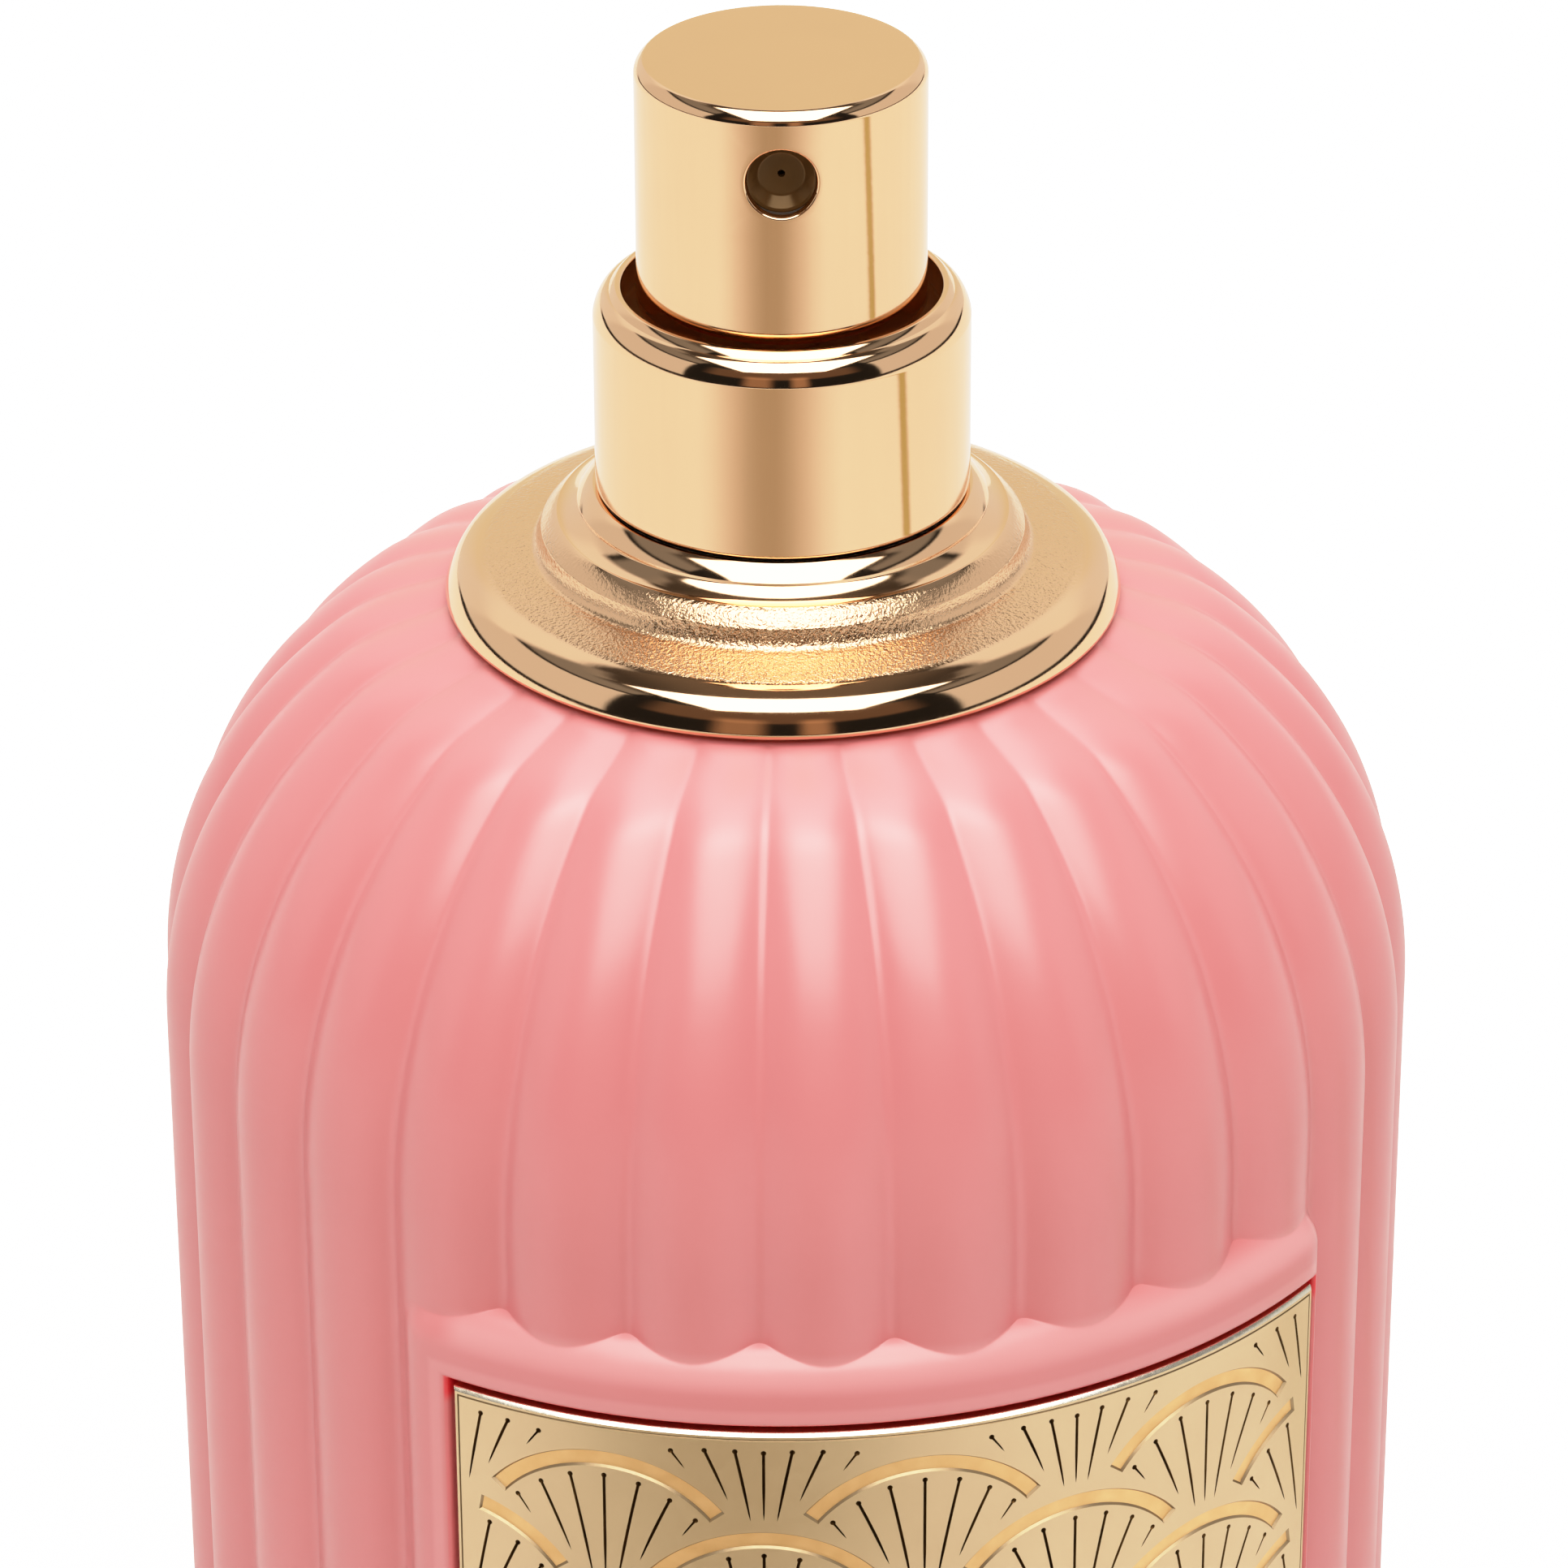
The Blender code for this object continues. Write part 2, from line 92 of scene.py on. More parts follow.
# --------------------------------------------------------------- mesh building
class Skin:
    """Rings of points about Z and the faces between them."""

    def __init__(self):
        self.points = []
        self.faces = []
        self.count = 0

    def add(self, points):
        points = np.asarray(points, float).reshape(-1, 3)
        ids = np.arange(self.count, self.count + len(points))
        self.points.append(points)
        self.count += len(points)
        return ids

    def ring(self, degrees, radii, heights):
        a = np.radians(np.asarray(degrees, float))
        r = np.broadcast_to(np.asarray(radii, float), a.shape)
        z = np.broadcast_to(np.asarray(heights, float), a.shape)
        return self.add(np.stack([r * np.sin(a), -r * np.cos(a), z], 1))

    def bridge(self, low, high, closed=True):
        """Quads between two rings of equal count, facing outwards when `high`
        is above `low`."""
        n = len(low)
        last = n if closed else n - 1
        i = np.arange(last)
        j = (i + 1) % n
        quads = np.stack([low[i], low[j], high[j], high[i]], 1)
        self.faces.extend(quads.tolist())

    def fan(self, ring, apex, flip=False):
        n = len(ring)
        for i in range(n):
            a, b = int(ring[i]), int(ring[(i + 1) % n])
            self.faces.append([b, a, apex] if flip else [a, b, apex])

    def zip(self, low, low_angles, high, high_angles):
        """Triangles between two closed rings of different counts, both sorted
        by angle."""
        n, m = len(low), len(high)
        la = np.append(low_angles, low_angles[0] + 360)
        ha = np.append(high_angles, high_angles[0] + 360)
        i = j = 0
        while i < n or j < m:
            if j == m or (i < n and la[i + 1] <= ha[j + 1]):
                self.faces.append([int(low[i]), int(low[(i + 1) % n]), int(high[j % m])])
                i += 1
            else:
                self.faces.append([int(low[i % n]), int(high[(j + 1) % m]), int(high[j])])
                j += 1

    def build(self, name, sharp=30.0):
        return new_mesh(name, np.concatenate(self.points), self.faces, sharp)


def new_mesh(name, points, faces, sharp=30.0):
    mesh = bpy.data.meshes.new(name)
    mesh.from_pydata((np.asarray(points, float) * MM).tolist(), [], faces)
    mesh.validate()
    mesh.update()
    mesh.calc_loop_triangles()
    corners = np.zeros(len(mesh.loop_triangles) * 3, np.int32)
    mesh.loop_triangles.foreach_get("vertices", corners)
    a, b, c = np.asarray(points, float)[corners.reshape(-1, 3)].transpose(1, 0, 2)
    if np.sum(a * np.cross(b, c)) < 0:
        mesh.flip_normals()
    mesh.shade_smooth()
    mesh.set_sharp_from_angle(angle=math.radians(sharp))
    obj = bpy.data.objects.new(name, mesh)
    bpy.context.scene.collection.objects.link(obj)
    return obj


def smoothstep(t):
    t = np.clip(t, 0.0, 1.0)
    return t * t * (3 - 2 * t)


def smooth_max(a, b, width):
    h = np.maximum(width - np.abs(a - b), 0.0) / width
    return np.maximum(a, b) + h * h * width * 0.25


def rounded(outline, closed=True, steps=6):
    """An (r, z) outline whose points may carry a corner radius as a third
    number; each such corner becomes an arc."""
    pts = [tuple(p) + (0.0,) * (3 - len(p)) for p in outline]
    made = []
    n = len(pts)
    for i, (x, z, radius) in enumerate(pts):
        if radius <= 0 or (not closed and i in (0, n - 1)):
            made.append((x, z))
            continue
        here = np.array((x, z))
        before = np.array(pts[i - 1][:2]) - here
        after = np.array(pts[(i + 1) % n][:2]) - here
        lb, la = np.linalg.norm(before), np.linalg.norm(after)
        before, after = before / lb, after / la
        half = math.acos(max(-1.0, min(1.0, float(before @ after)))) / 2
        reach = min(radius / math.tan(half), 0.49 * lb, 0.49 * la)
        radius = reach * math.tan(half)
        middle = before + after
        middle = middle / np.linalg.norm(middle)
        centre = here + middle * (radius / math.sin(half))
        start, end = here + before * reach - centre, here + after * reach - centre
        a0 = math.atan2(start[1], start[0])
        turn = math.atan2(end[1], end[0]) - a0
        turn = (turn + math.pi) % (2 * math.pi) - math.pi
        for k in range(steps + 1):
            a = a0 + turn * k / steps
            made.append((centre[0] + radius * math.cos(a), centre[1] + radius * math.sin(a)))
    return made


def arc(r, z, radius, start, end, steps):
    made = []
    for k in range(steps + 1):
        a = math.radians(start + (end - start) * k / steps)
        made.append((r + radius * math.cos(a), z + radius * math.sin(a)))
    return made


def eased_edge(r, z, radii, turns, steps):
    """A rounded edge made of tangent arcs, from its upper end at (r, z); the
    first arc of each radius starts at the angle where the last one ended."""
    made = [(r, z)]
    for radius, start, end in zip(radii, turns, turns[1:]):
        a = math.radians(start)
        middle = (made[-1][0] - radius * math.cos(a), made[-1][1] - radius * math.sin(a))
        made += arc(*middle, radius, start, end, steps)[1:]
    return made


def bezier(a, b, c, steps):
    t = np.linspace(0, 1, steps + 1)[:, None]
    a, b, c = (np.array(p, float) for p in (a, b, c))
    return [tuple(p) for p in a * (1 - t) ** 2 + 2 * b * t * (1 - t) + c * t * t]


def braced(outline, closed):
    """Adds points close to both ends of each long straight run, so that smooth
    shading stays within the roundings beside it."""
    pts = [np.array(p, float) for p in outline]
    n = len(pts)
    count = n if closed else n - 1
    lengths = [float(np.linalg.norm(pts[(i + 1) % n] - pts[i])) for i in range(count)]
    made = []
    for i, p in enumerate(pts):
        made.append(tuple(p))
        if i >= count:
            continue
        before = lengths[i - 1] if closed or i > 0 else lengths[i]
        after = lengths[(i + 1) % count] if closed or i + 1 < count else lengths[i]
        step = pts[(i + 1) % n] - p
        if lengths[i] > 2.5 * before:
            made.append(tuple(p + step * min(before, 0.1) / lengths[i]))
        if lengths[i] > 2.5 * after:
            made.append(tuple(p + step * (1 - min(after, 0.1) / lengths[i])))
    return made


def lathe(name, outline, segments=160, closed=True, sharp=30.0):
    """Turns an (r, z) outline about Z. An open outline starts and ends on the
    axis."""
    skin = Skin()
    outline = braced(outline, closed)
    degrees = np.arange(segments) * 360.0 / segments
    rings = []
    for r, z in outline:
        if r < 1e-6:
            rings.append(int(skin.add([(0, 0, z)])[0]))
        else:
            rings.append(skin.ring(degrees, r, z))
    pairs = list(zip(rings, rings[1:]))
    if closed:
        pairs.append((rings[-1], rings[0]))
    for low, high in pairs:
        if isinstance(low, int):
            skin.fan(high, low, flip=True)
        elif isinstance(high, int):
            skin.fan(low, high)
        else:
            skin.bridge(low, high)
    return skin.build(name, sharp)


def install(obj, body, node, material):
    obj.data.materials.append(material)
    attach(obj, body)
    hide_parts(node)
    return obj


# ------------------------------------------------------------------- materials
class Graph:
    """Short hand for building a node tree."""

    def __init__(self, tree):
        self.tree = tree
        self.tree.nodes.clear()

    def node(self, kind, inputs=None, **settings):
        made = self.tree.nodes.new(kind)
        for key, value in settings.items():
            setattr(made, key, value)
        for key, value in (inputs or {}).items():
            self.set(made, key, value)
        return made

    def set(self, node, key, value):
        socket = node.inputs[key]
        if isinstance(value, bpy.types.NodeSocket):
            self.tree.links.new(value, socket)
        else:
            socket.default_value = value

    def math(self, operation, a, b=0.0, clamp=False):
        made = self.node("ShaderNodeMath", operation=operation, use_clamp=clamp)
        self.set(made, 0, a)
        self.set(made, 1, b)
        return made.outputs[0]

    def ease(self, value, low, high, to_low=0.0, to_high=1.0):
        made = self.node(
            "ShaderNodeMapRange",
            {"Value": value, "From Min": low, "From Max": high, "To Min": to_low, "To Max": to_high},
            interpolation_type="SMOOTHSTEP",
        )
        return made.outputs["Result"]

    def span(self, value, low, high, soft):
        """1 between low and high, easing to 0 over `soft` at each end."""
        up = self.ease(value, low - soft, low + soft)
        down = self.ease(value, high - soft, high + soft, 1.0, 0.0)
        return self.math("MULTIPLY", up, down)

    def ramp(self, value, stops):
        made = self.node("ShaderNodeValToRGB", {"Fac": value})
        elements = made.color_ramp.elements
        while len(elements) < len(stops):
            elements.new(0.5)
        for element, (at, colour) in zip(elements, stops):
            element.position = at
            element.color = (*colour, 1.0)
        return made.outputs["Color"]

    def noise(self, vector, scale, detail=2.0, rough=0.5, lacunarity=2.0):
        made = self.node(
            "ShaderNodeTexNoise",
            {"Vector": vector, "Scale": scale, "Detail": detail, "Roughness": rough, "Lacunarity": lacunarity},
        )
        return made.outputs["Fac"]

    def mix(self, factor, a, b):
        made = self.node("ShaderNodeMix", data_type="RGBA")
        self.set(made, 0, factor)
        self.set(made, 6, a if isinstance(a, bpy.types.NodeSocket) else (*a, 1.0))
        self.set(made, 7, b if isinstance(b, bpy.types.NodeSocket) else (*b, 1.0))
        return made.outputs[2]

    def place(self, scale=(1, 1, 1)):
        coord = self.node("ShaderNodeTexCoord").outputs["Object"]
        if tuple(scale) == (1, 1, 1):
            return coord
        return self.node("ShaderNodeMapping", {"Vector": coord, "Scale": scale}).outputs["Vector"]


def new_material(name):
    material = bpy.data.materials.new(name)
    material.use_nodes = True
    g = Graph(material.node_tree)
    shader = g.node("ShaderNodeBsdfPrincipled")
    out = g.node("ShaderNodeOutputMaterial")
    g.tree.links.new(shader.outputs["BSDF"], out.inputs["Surface"])
    return material, g, shader


def lacquer():
    """Satin sprayed lacquer: a faint unevenness of colour, a soft orange peel,
    a few specks of dust caught under the coat, a painted highlight of paler
    pink round the brim of the plaque's pocket and along the ledge under the
    scallops, and painted shade in deep red at the pocket's edge."""
    material, g, shader = new_material("pink_lacquer")
    at = g.place()
    cloud = g.noise(at, 70.0, 3.0)
    colour = g.ramp(cloud, [(0.2, (0.652, 0.197, 0.205)), (0.8, (0.668, 0.209, 0.217))])
    cells = g.node("ShaderNodeTexVoronoi", {"Vector": at, "Scale": 95.0}, feature="F1")
    chance = g.node("ShaderNodeSeparateColor", {"Color": cells.outputs["Color"]}).outputs[0]
    near = g.ease(cells.outputs["Distance"], 0.004, 0.010, 1.0, 0.0)
    rare = g.math("GREATER_THAN", chance, 0.72)
    speck = g.math("MULTIPLY", g.math("MULTIPLY", near, rare), 0.5)
    colour = g.mix(speck, colour, (0.22, 0.04, 0.05))
    x, y, z = g.node("ShaderNodeSeparateXYZ", {"Vector": at}).outputs
    radius = g.math("SQRT", g.math("ADD", g.math("MULTIPLY", x, x), g.math("MULTIPLY", y, y)))
    across = g.math("ABSOLUTE", g.math("ARCTAN2", x, g.math("MULTIPLY", y, -1.0)))
    edge = math.radians(PLAQUE_HALF) + POCKET_GAP / PANEL_R
    middle, tall = (PLAQUE_Z[0] + PLAQUE_Z[1]) / 2 * MM, (PLAQUE_Z[1] - PLAQUE_Z[0]) / 2 * MM
    beside = g.math("MULTIPLY", g.math("SUBTRACT", across, edge), PANEL_R * MM)
    above = g.math("SUBTRACT", g.math("ABSOLUTE", g.math("SUBTRACT", z, middle)), tall + POCKET_GAP * MM)
    off = g.math("MAXIMUM", beside, above)
    front = g.math("MULTIPLY", g.ease(radius, 0.0278, 0.0281), g.math("LESS_THAN", y, 0.0))
    # Painted highlight: a paler band of pink round the brim of the plaque's pocket, on the front.
    painted_brim_highlight = g.math("MULTIPLY", g.math("MULTIPLY", g.span(off, 0.00032, 0.00092, 0.00018), front), 0.30)
    colour = g.mix(painted_brim_highlight, colour, (0.84, 0.36, 0.37))
    # Painted highlight: paler pink along the up-facing ledge under the scallops.
    painted_ledge_highlight = g.math("MULTIPLY", g.span(z, 0.05340, 0.05455, 0.0005), g.ease(across, math.radians(41.0), math.radians(44.0), 1.0, 0.0))
    colour = g.mix(g.math("MULTIPLY", g.math("MULTIPLY", painted_ledge_highlight, front), 0.45), colour, (0.84, 0.40, 0.41))
    # Painted shade: deep red at the pocket's edge, where the gap round the plaque lies in shade.
    painted_crimson_shade = g.math("MULTIPLY", g.ease(off, 0.00012, 0.00026, 1.0, 0.0), front)
    painted_crimson_shade = g.math("MULTIPLY", painted_crimson_shade, g.ease(z, 0.0500, 0.0508, 0.28, 1.0))
    colour = g.mix(painted_crimson_shade, colour, (0.80, 0.022, 0.035))
    g.set(shader, "Base Color", colour)
    fine = g.noise(at, 900.0, 2.0)
    g.set(shader, "Roughness", g.ease(g.noise(at, 260.0, 3.0), 0.2, 0.8, 0.295, 0.345))
    bump = g.node("ShaderNodeBump", {"Height": fine, "Strength": 0.03, "Distance": 0.0002})
    g.set(shader, "Normal", bump.outputs["Normal"])
    shader.inputs["Specular IOR Level"].default_value = 0.7
    return material


def gold(name, colour, rough, grain_at=None):
    """Bright anodised aluminium: faint mottling of the dye, hair-fine drawing
    marks and, between two radii, a blasted grain."""
    material, g, shader = new_material(name)
    at = g.place()
    dye = g.noise(at, 120.0, 3.0)
    low = tuple(c * 0.98 for c in colour)
    high = tuple(min(c * 1.015, 1.0) for c in colour)
    tone = g.ramp(dye, [(0.3, low), (0.7, high)])
    shader.inputs["Metallic"].default_value = 1.0
    drawn = g.noise(g.place((2200.0, 2200.0, 60.0)), 1.0, 3.0)
    roughness = g.ease(drawn, 0.2, 0.8, rough * 0.85, rough * 1.2)
    height = g.noise(at, 1500.0, 2.0)
    strength, depth = 0.012, 0.0001
    if grain_at:
        x, y, _ = g.node("ShaderNodeSeparateXYZ", {"Vector": at}).outputs
        radius = g.math("SQRT", g.math("ADD", g.math("MULTIPLY", x, x), g.math("MULTIPLY", y, y)))
        mask = g.span(radius, grain_at[0] * MM, grain_at[1] * MM, 0.2 * MM)
        pebbles = g.noise(at, 5600.0, 2.5, 0.6)
        turned = g.math("ARCTAN2", x, g.math("MULTIPLY", y, -1.0))
        coarse = g.ease(g.math("ABSOLUTE", g.math("ADD", turned, 0.2)), 0.35, 0.75, 2.6, 1.0)
        pebbles = g.math("MULTIPLY", pebbles, g.math("MULTIPLY", coarse, g.ease(radius, 11.2 * MM, 11.6 * MM, 0.6, 1.0)))
        height = g.math("ADD", g.math("MULTIPLY", pebbles, mask), g.math("MULTIPLY", height, 0.03))
        strength, depth = 0.9, 0.000048
        roughness = g.math("ADD", roughness, g.math("MULTIPLY", mask, 0.09))
        tone = g.mix(g.math("MULTIPLY", mask, 0.25), tone, tuple(c * 0.8 for c in colour))
    g.set(shader, "Base Color", tone)
    g.set(shader, "Roughness", roughness)
    bump = g.node("ShaderNodeBump", {"Height": height, "Strength": strength, "Distance": depth})
    g.set(shader, "Normal", bump.outputs["Normal"])
    return material


def etched_gold():
    """The plaque: a pale satin field, darkened engraved lines and orange-gold
    etched floors."""
    material, g, shader = new_material("gold_plaque")
    at = g.place()
    field = g.ramp(g.noise(at, 160.0, 3.0), [(0.3, (0.690, 0.512, 0.312)), (0.7, (0.722, 0.540, 0.332))])
    floor = g.ramp(g.noise(at, 900.0, 3.0), [(0.3, (0.83, 0.51, 0.22)), (0.7, (0.93, 0.60, 0.28))])
    line = g.ramp(g.noise(at, 700.0, 3.0), [(0.3, (0.055, 0.028, 0.010)), (0.7, (0.16, 0.085, 0.030))])
    satin = g.node("ShaderNodeAttribute", attribute_name="satin").outputs["Fac"]
    cut = g.node("ShaderNodeAttribute", attribute_name="cut").outputs["Fac"]
    rim = g.node("ShaderNodeAttribute", attribute_name="rim").outputs["Fac"]
    # Painted highlight: the chamfered rim is coloured paler, as if lit; its lower roughness stands for the real polish.
    rim_highlight_tone = g.ramp(g.noise(at, 500.0, 3.0), [(0.3, (0.88, 0.79, 0.64)), (0.7, (0.95, 0.89, 0.78))])
    colour = g.mix(rim, g.mix(cut, g.mix(satin, field, floor), line), rim_highlight_tone)
    g.set(shader, "Base Color", colour)
    shader.inputs["Metallic"].default_value = 1.0
    grain = g.noise(at, 3600.0, 2.0)
    base = g.ease(grain, 0.2, 0.8, 0.30, 0.36)
    rough = g.math("ADD", base, g.math("MULTIPLY", g.math("MAXIMUM", satin, cut), 0.12))
    rough = g.math("SUBTRACT", rough, g.math("MULTIPLY", rim, 0.12))
    g.set(shader, "Roughness", rough)
    bump = g.node("ShaderNodeBump", {"Height": grain, "Strength": 0.06, "Distance": 0.00008})
    g.set(shader, "Normal", bump.outputs["Normal"])
    return material


def plastic(name, light, dark, rough, grain=1400.0, bump_strength=0.08, subsurface=0.0):
    """Moulded plastic or rubber with a slight mottling and a fine skin."""
    material, g, shader = new_material(name)
    at = g.place()
    g.set(shader, "Base Color", g.ramp(g.noise(at, 240.0, 3.0), [(0.3, dark), (0.7, light)]))
    skin = g.noise(at, grain, 3.0)
    g.set(shader, "Roughness", g.ease(skin, 0.2, 0.8, rough * 0.88, min(rough * 1.12, 1.0)))
    bump = g.node("ShaderNodeBump", {"Height": skin, "Strength": bump_strength, "Distance": 0.0001})
    g.set(shader, "Normal", bump.outputs["Normal"])
    if subsurface:
        shader.inputs["Subsurface Weight"].default_value = subsurface
        shader.inputs["Subsurface Scale"].default_value = 0.001
    return material


def plain_metal(name, light, dark, rough):
    material, g, shader = new_material(name)
    g.set(shader, "Base Color", g.ramp(g.noise(g.place(), 300.0, 3.0), [(0.3, dark), (0.7, light)]))
    shader.inputs["Metallic"].default_value = 1.0
    drawn = g.noise(g.place((900.0, 900.0, 120.0)), 1.0, 3.0)
    g.set(shader, "Roughness", g.ease(drawn, 0.2, 0.8, rough * 0.8, rough * 1.25))
    bump = g.node("ShaderNodeBump", {"Height": drawn, "Strength": 0.05, "Distance": 0.0001})
    g.set(shader, "Normal", bump.outputs["Normal"])
    return material


# ---------------------------------------------------------------------- bottle
def rib_section(degrees):
    """0 on a rib's crest, 1 at the bottom of a groove; grooves are filleted."""
    t = np.abs(2 * np.mod((np.asarray(degrees, float) - RIB_PHASE) / (360 / RIBS), 1.0) - 1)
    w = GROOVE_FILLET
    flank = np.minimum(t, 1 - w) ** 2
    e = np.maximum(t - (1 - w), 0)
    return (flank + 2 * (1 - w) * (e - e * e / (2 * w))) / (1 - w)


def dome_row(r):
    s = (1 - (r / BODY_R) ** DOME_POWER) ** (1 / DOME_POWER)
    start, end = DOME_FLAT_R
    return WALL_TOP_Z + DOME_H * s - DOME_FLAT_DROP * float(smoothstep((start - r) / (start - end)))


def bottle_angles():
    """Columns, closer together in the grooves and round the pocket's sides."""
    half = [0, 0.14, 0.28, 0.42, 0.55, 0.67, 0.77, 0.85, 0.905, 0.945, 0.975]
    pitch = 360 / RIBS
    marks = []
    for k in range(RIBS):
        crest = -180 + pitch * (k + 0.5) + RIB_PHASE
        marks += [crest + pitch / 2 * t for t in half] + [crest - pitch / 2 * t for t in half[1:]]
        marks.append(crest - pitch / 2)
    edge = PLAQUE_HALF + math.degrees(POCKET_GAP / PANEL_R)
    per_mm = math.degrees(1 / PANEL_R)
    sides = [edge + per_mm * d for d in lip_steps()]
    marks = [m for m in marks if not sides[0] - 0.25 < abs(m) < sides[-1] + 0.25]
    marks += sides + [-s for s in sides]
    return np.array(sorted(((m + 180) % 360) - 180 for m in marks))


def lip_steps():
    """Distances outwards from the pocket's side at which its lip is sampled."""
    q = POCKET_LIP
    return [-0.25, 0.0, 0.012] + [0.012 + q * (1 - math.cos(math.radians(a))) for a in (25, 48, 70, 90)]


def panel_radius(degrees, z):
    """The smooth boss on the front, rolled off along all four sides."""
    left, right = PANEL_SIDES
    side = np.minimum(degrees - left, right - degrees) / math.degrees(1 / PANEL_R)
    ends = np.minimum(z - PANEL_Z[0], PANEL_Z[1] - z)
    p = PANEL_ROUND
    away = np.hypot(np.maximum(p - side, 0), np.maximum(p - ends, 0))
    on = PANEL_R - p + np.sqrt(np.maximum(p * p - away * away, 0))
    return np.where(away < p, on, PANEL_R - p - 1.0 * (away - p))


def scallop(degrees):
    """How far inside the boss's end edge the ribs run into it."""
    gap = PANEL_R - (BODY_R - RIB_DEPTH * rib_section(degrees))
    p = PANEL_ROUND
    return p - np.sqrt(p * p - (p - gap) ** 2)


def wall_levels():
    """(height, share of the scallop's shape followed, which end) from the heel
    to the dome."""
    low, high = PANEL_Z
    near = [-0.42, -0.26, -0.16, -0.09, -0.04, 0.0, 0.04, 0.09, 0.16, 0.25, 0.36, 0.5, 0.68, 0.9]
    rows = [(4.9, 0, 0), (5.6, 0, 0), (6.4, 0, 0), (7.1, 0, 0), (7.7, 0.35, 0), (8.15, 0.8, 0)]
    rows += [(low + d, 1, 0) for d in near]
    rows += [(low + 1.15, 0.75, 0), (low + 1.4, 0.5, 0), (low + 1.65, 0.25, 0), (low + 2.0, 0, 0), (low + 2.6, 0, 0)]
    q = [d for d in lip_steps()]
    bottom, top = PLAQUE_Z[0] - POCKET_GAP, PLAQUE_Z[1] + POCKET_GAP
    rows += [(bottom - d, 0, 0) for d in reversed(q)]
    rows += [(bottom + (top - bottom) * k / 9, 0, 0) for k in range(1, 9)]
    rows += [(top + d, 0, 1) for d in q]
    rows += [(high - 2.9, 0, 1), (high - 2.4, 0, 1), (high - 2.0, 0, 1), (high - 1.75, 0.2, 1), (high - 1.5, 0.42, 1), (high - 1.25, 0.66, 1), (high - 1.05, 0.86, 1)]
    rows += [(high - d, 1, 1) for d in reversed(near)]
    rows += [(high + 0.75, 0.8, 1), (high + 1.2, 0.4, 1), (high + 1.8, 0.1, 1), (high + 2.3, 0, 1)]
    return rows


def make_bottle():
    skin = Skin()
    degrees = bottle_angles()
    section = rib_section(degrees)
    rings = []
    for a in (0, 8, 18, 29, 40, 51, 62, 73, 82, 90):
        a = math.radians(a)
        rings.append(
            skin.ring(
                degrees,
                BODY_R - HEEL_R + HEEL_R * math.sin(a) - RIB_DEPTH * math.sin(a) * section,
                HEEL_R - HEEL_R * math.cos(a),
            )
        )
    beyond = np.maximum(PANEL_SIDES[0] - degrees, degrees - PANEL_SIDES[1])
    inset = scallop(degrees) * (1 - smoothstep(beyond / 8))
    edge = PLAQUE_HALF + math.degrees(POCKET_GAP / PANEL_R)
    per_mm = math.degrees(1 / PANEL_R)
    bottom, top = PLAQUE_Z[0] - POCKET_GAP, PLAQUE_Z[1] + POCKET_GAP
    for level, share, end in wall_levels():
        z = level + (inset if end == 0 else -inset) * share
        r = smooth_max(BODY_R - RIB_DEPTH * section, panel_radius(degrees, z), 0.05)
        out = np.maximum((np.abs(degrees) - edge) / per_mm, np.maximum(z - top, bottom - z))
        q = POCKET_LIP
        d = np.clip(out - 0.012, 0, q)
        lip = PANEL_R - q + np.sqrt(np.maximum(q * q - (q - d) ** 2, 0))
        r = np.where(out < 0.006, POCKET_FLOOR_R, np.where(out < q + 0.012, np.minimum(r, lip), r))
        rings.append(skin.ring(degrees, r, z))
    radii = np.linspace(BODY_R, 15.6, 600)
    heights = np.array([dome_row(r) for r in radii])
    length = np.concatenate([[0], np.cumsum(np.hypot(np.diff(radii), np.diff(heights)))])
    for at in np.linspace(0, length[-1], 42):
        r = float(np.interp(at, length, radii))
        rings.append(skin.ring(degrees, r - RIB_DEPTH * r / BODY_R * section, dome_row(r)))
    rings.append(skin.ring(degrees, 15.05 - 0.1 * section, SEAT_Z))
    for low, high in zip(rings, rings[1:]):
        skin.bridge(low, high)

    # Neck, inside and foot, which are plain and turned.
    around = np.arange(96) * 3.75 - 180
    cavity = [(24.5 * math.cos(math.radians(a)), 55 + 19 * math.sin(math.radians(a))) for a in (76, 70, 62, 54, 46, 38, 30, 22, 14, 6, 0)]
    outline = rounded(
        [(11.0, SEAT_Z), (6.3, SEAT_Z, 0.5), (6.3, 81.0, 0.3), (7.3, 81.8, 0.4), (7.3, 86.2, 0.6), (4.8, 86.2, 0.4), (4.8, 75.2, 0.8)],
        closed=False,
        steps=4,
    )
    outline += cavity + arc(20.5, 12.0, 4.0, 0, -90, 6) + [(13.0, 7.8), (6.0, 7.5)]
    inner = [skin.ring(around, r, z) for r, z in outline]
    skin.zip(rings[-1], degrees, inner[0], around)
    for low, high in zip(inner, inner[1:]):
        skin.bridge(low, high)
    skin.fan(inner[-1], int(skin.add([(0, 0, 7.4)])[0]))
    foot = [(22.5, 0.0), (18.6, 0.0), (17.6, 0.05)] + [(r, PUSH_UP * (1 - (r / 18.2) ** 2)) for r in (16, 13, 10, 7, 4)]
    under = [skin.ring(around, r, z) for r, z in foot]
    skin.zip(under[0], around, rings[0], degrees)
    for low, high in zip(under, under[1:]):
        skin.bridge(high, low)
    skin.fan(under[-1], int(skin.add([(0, 0, PUSH_UP)])[0]), flip=True)
    return skin.build("bottle_body", 42.0)


# ---------------------------------------------------------------------- plaque
FAN_W = 43.0 / 3           # spacing of the fans along a row
FAN_R = FAN_W / 2
FAN_ROW = FAN_R / 2
LINE_DEPTH = 0.16
FLOOR_DEPTH = 0.11


def fan_centres(width, height):
    """Centres of the overlapping round fans, bottom row last; each row lies
    over the one above it."""
    rows = []
    y = height - 0.9 - FAN_R + 2 * FAN_ROW
    k = 0
    while y > -FAN_R:
        shift = FAN_W / 2 if k % 2 else 0.0
        count = 5
        rows.append([(shift + FAN_W * (i - count // 2), y) for i in range(count)])
        y -= FAN_ROW
        k += 1
    return rows


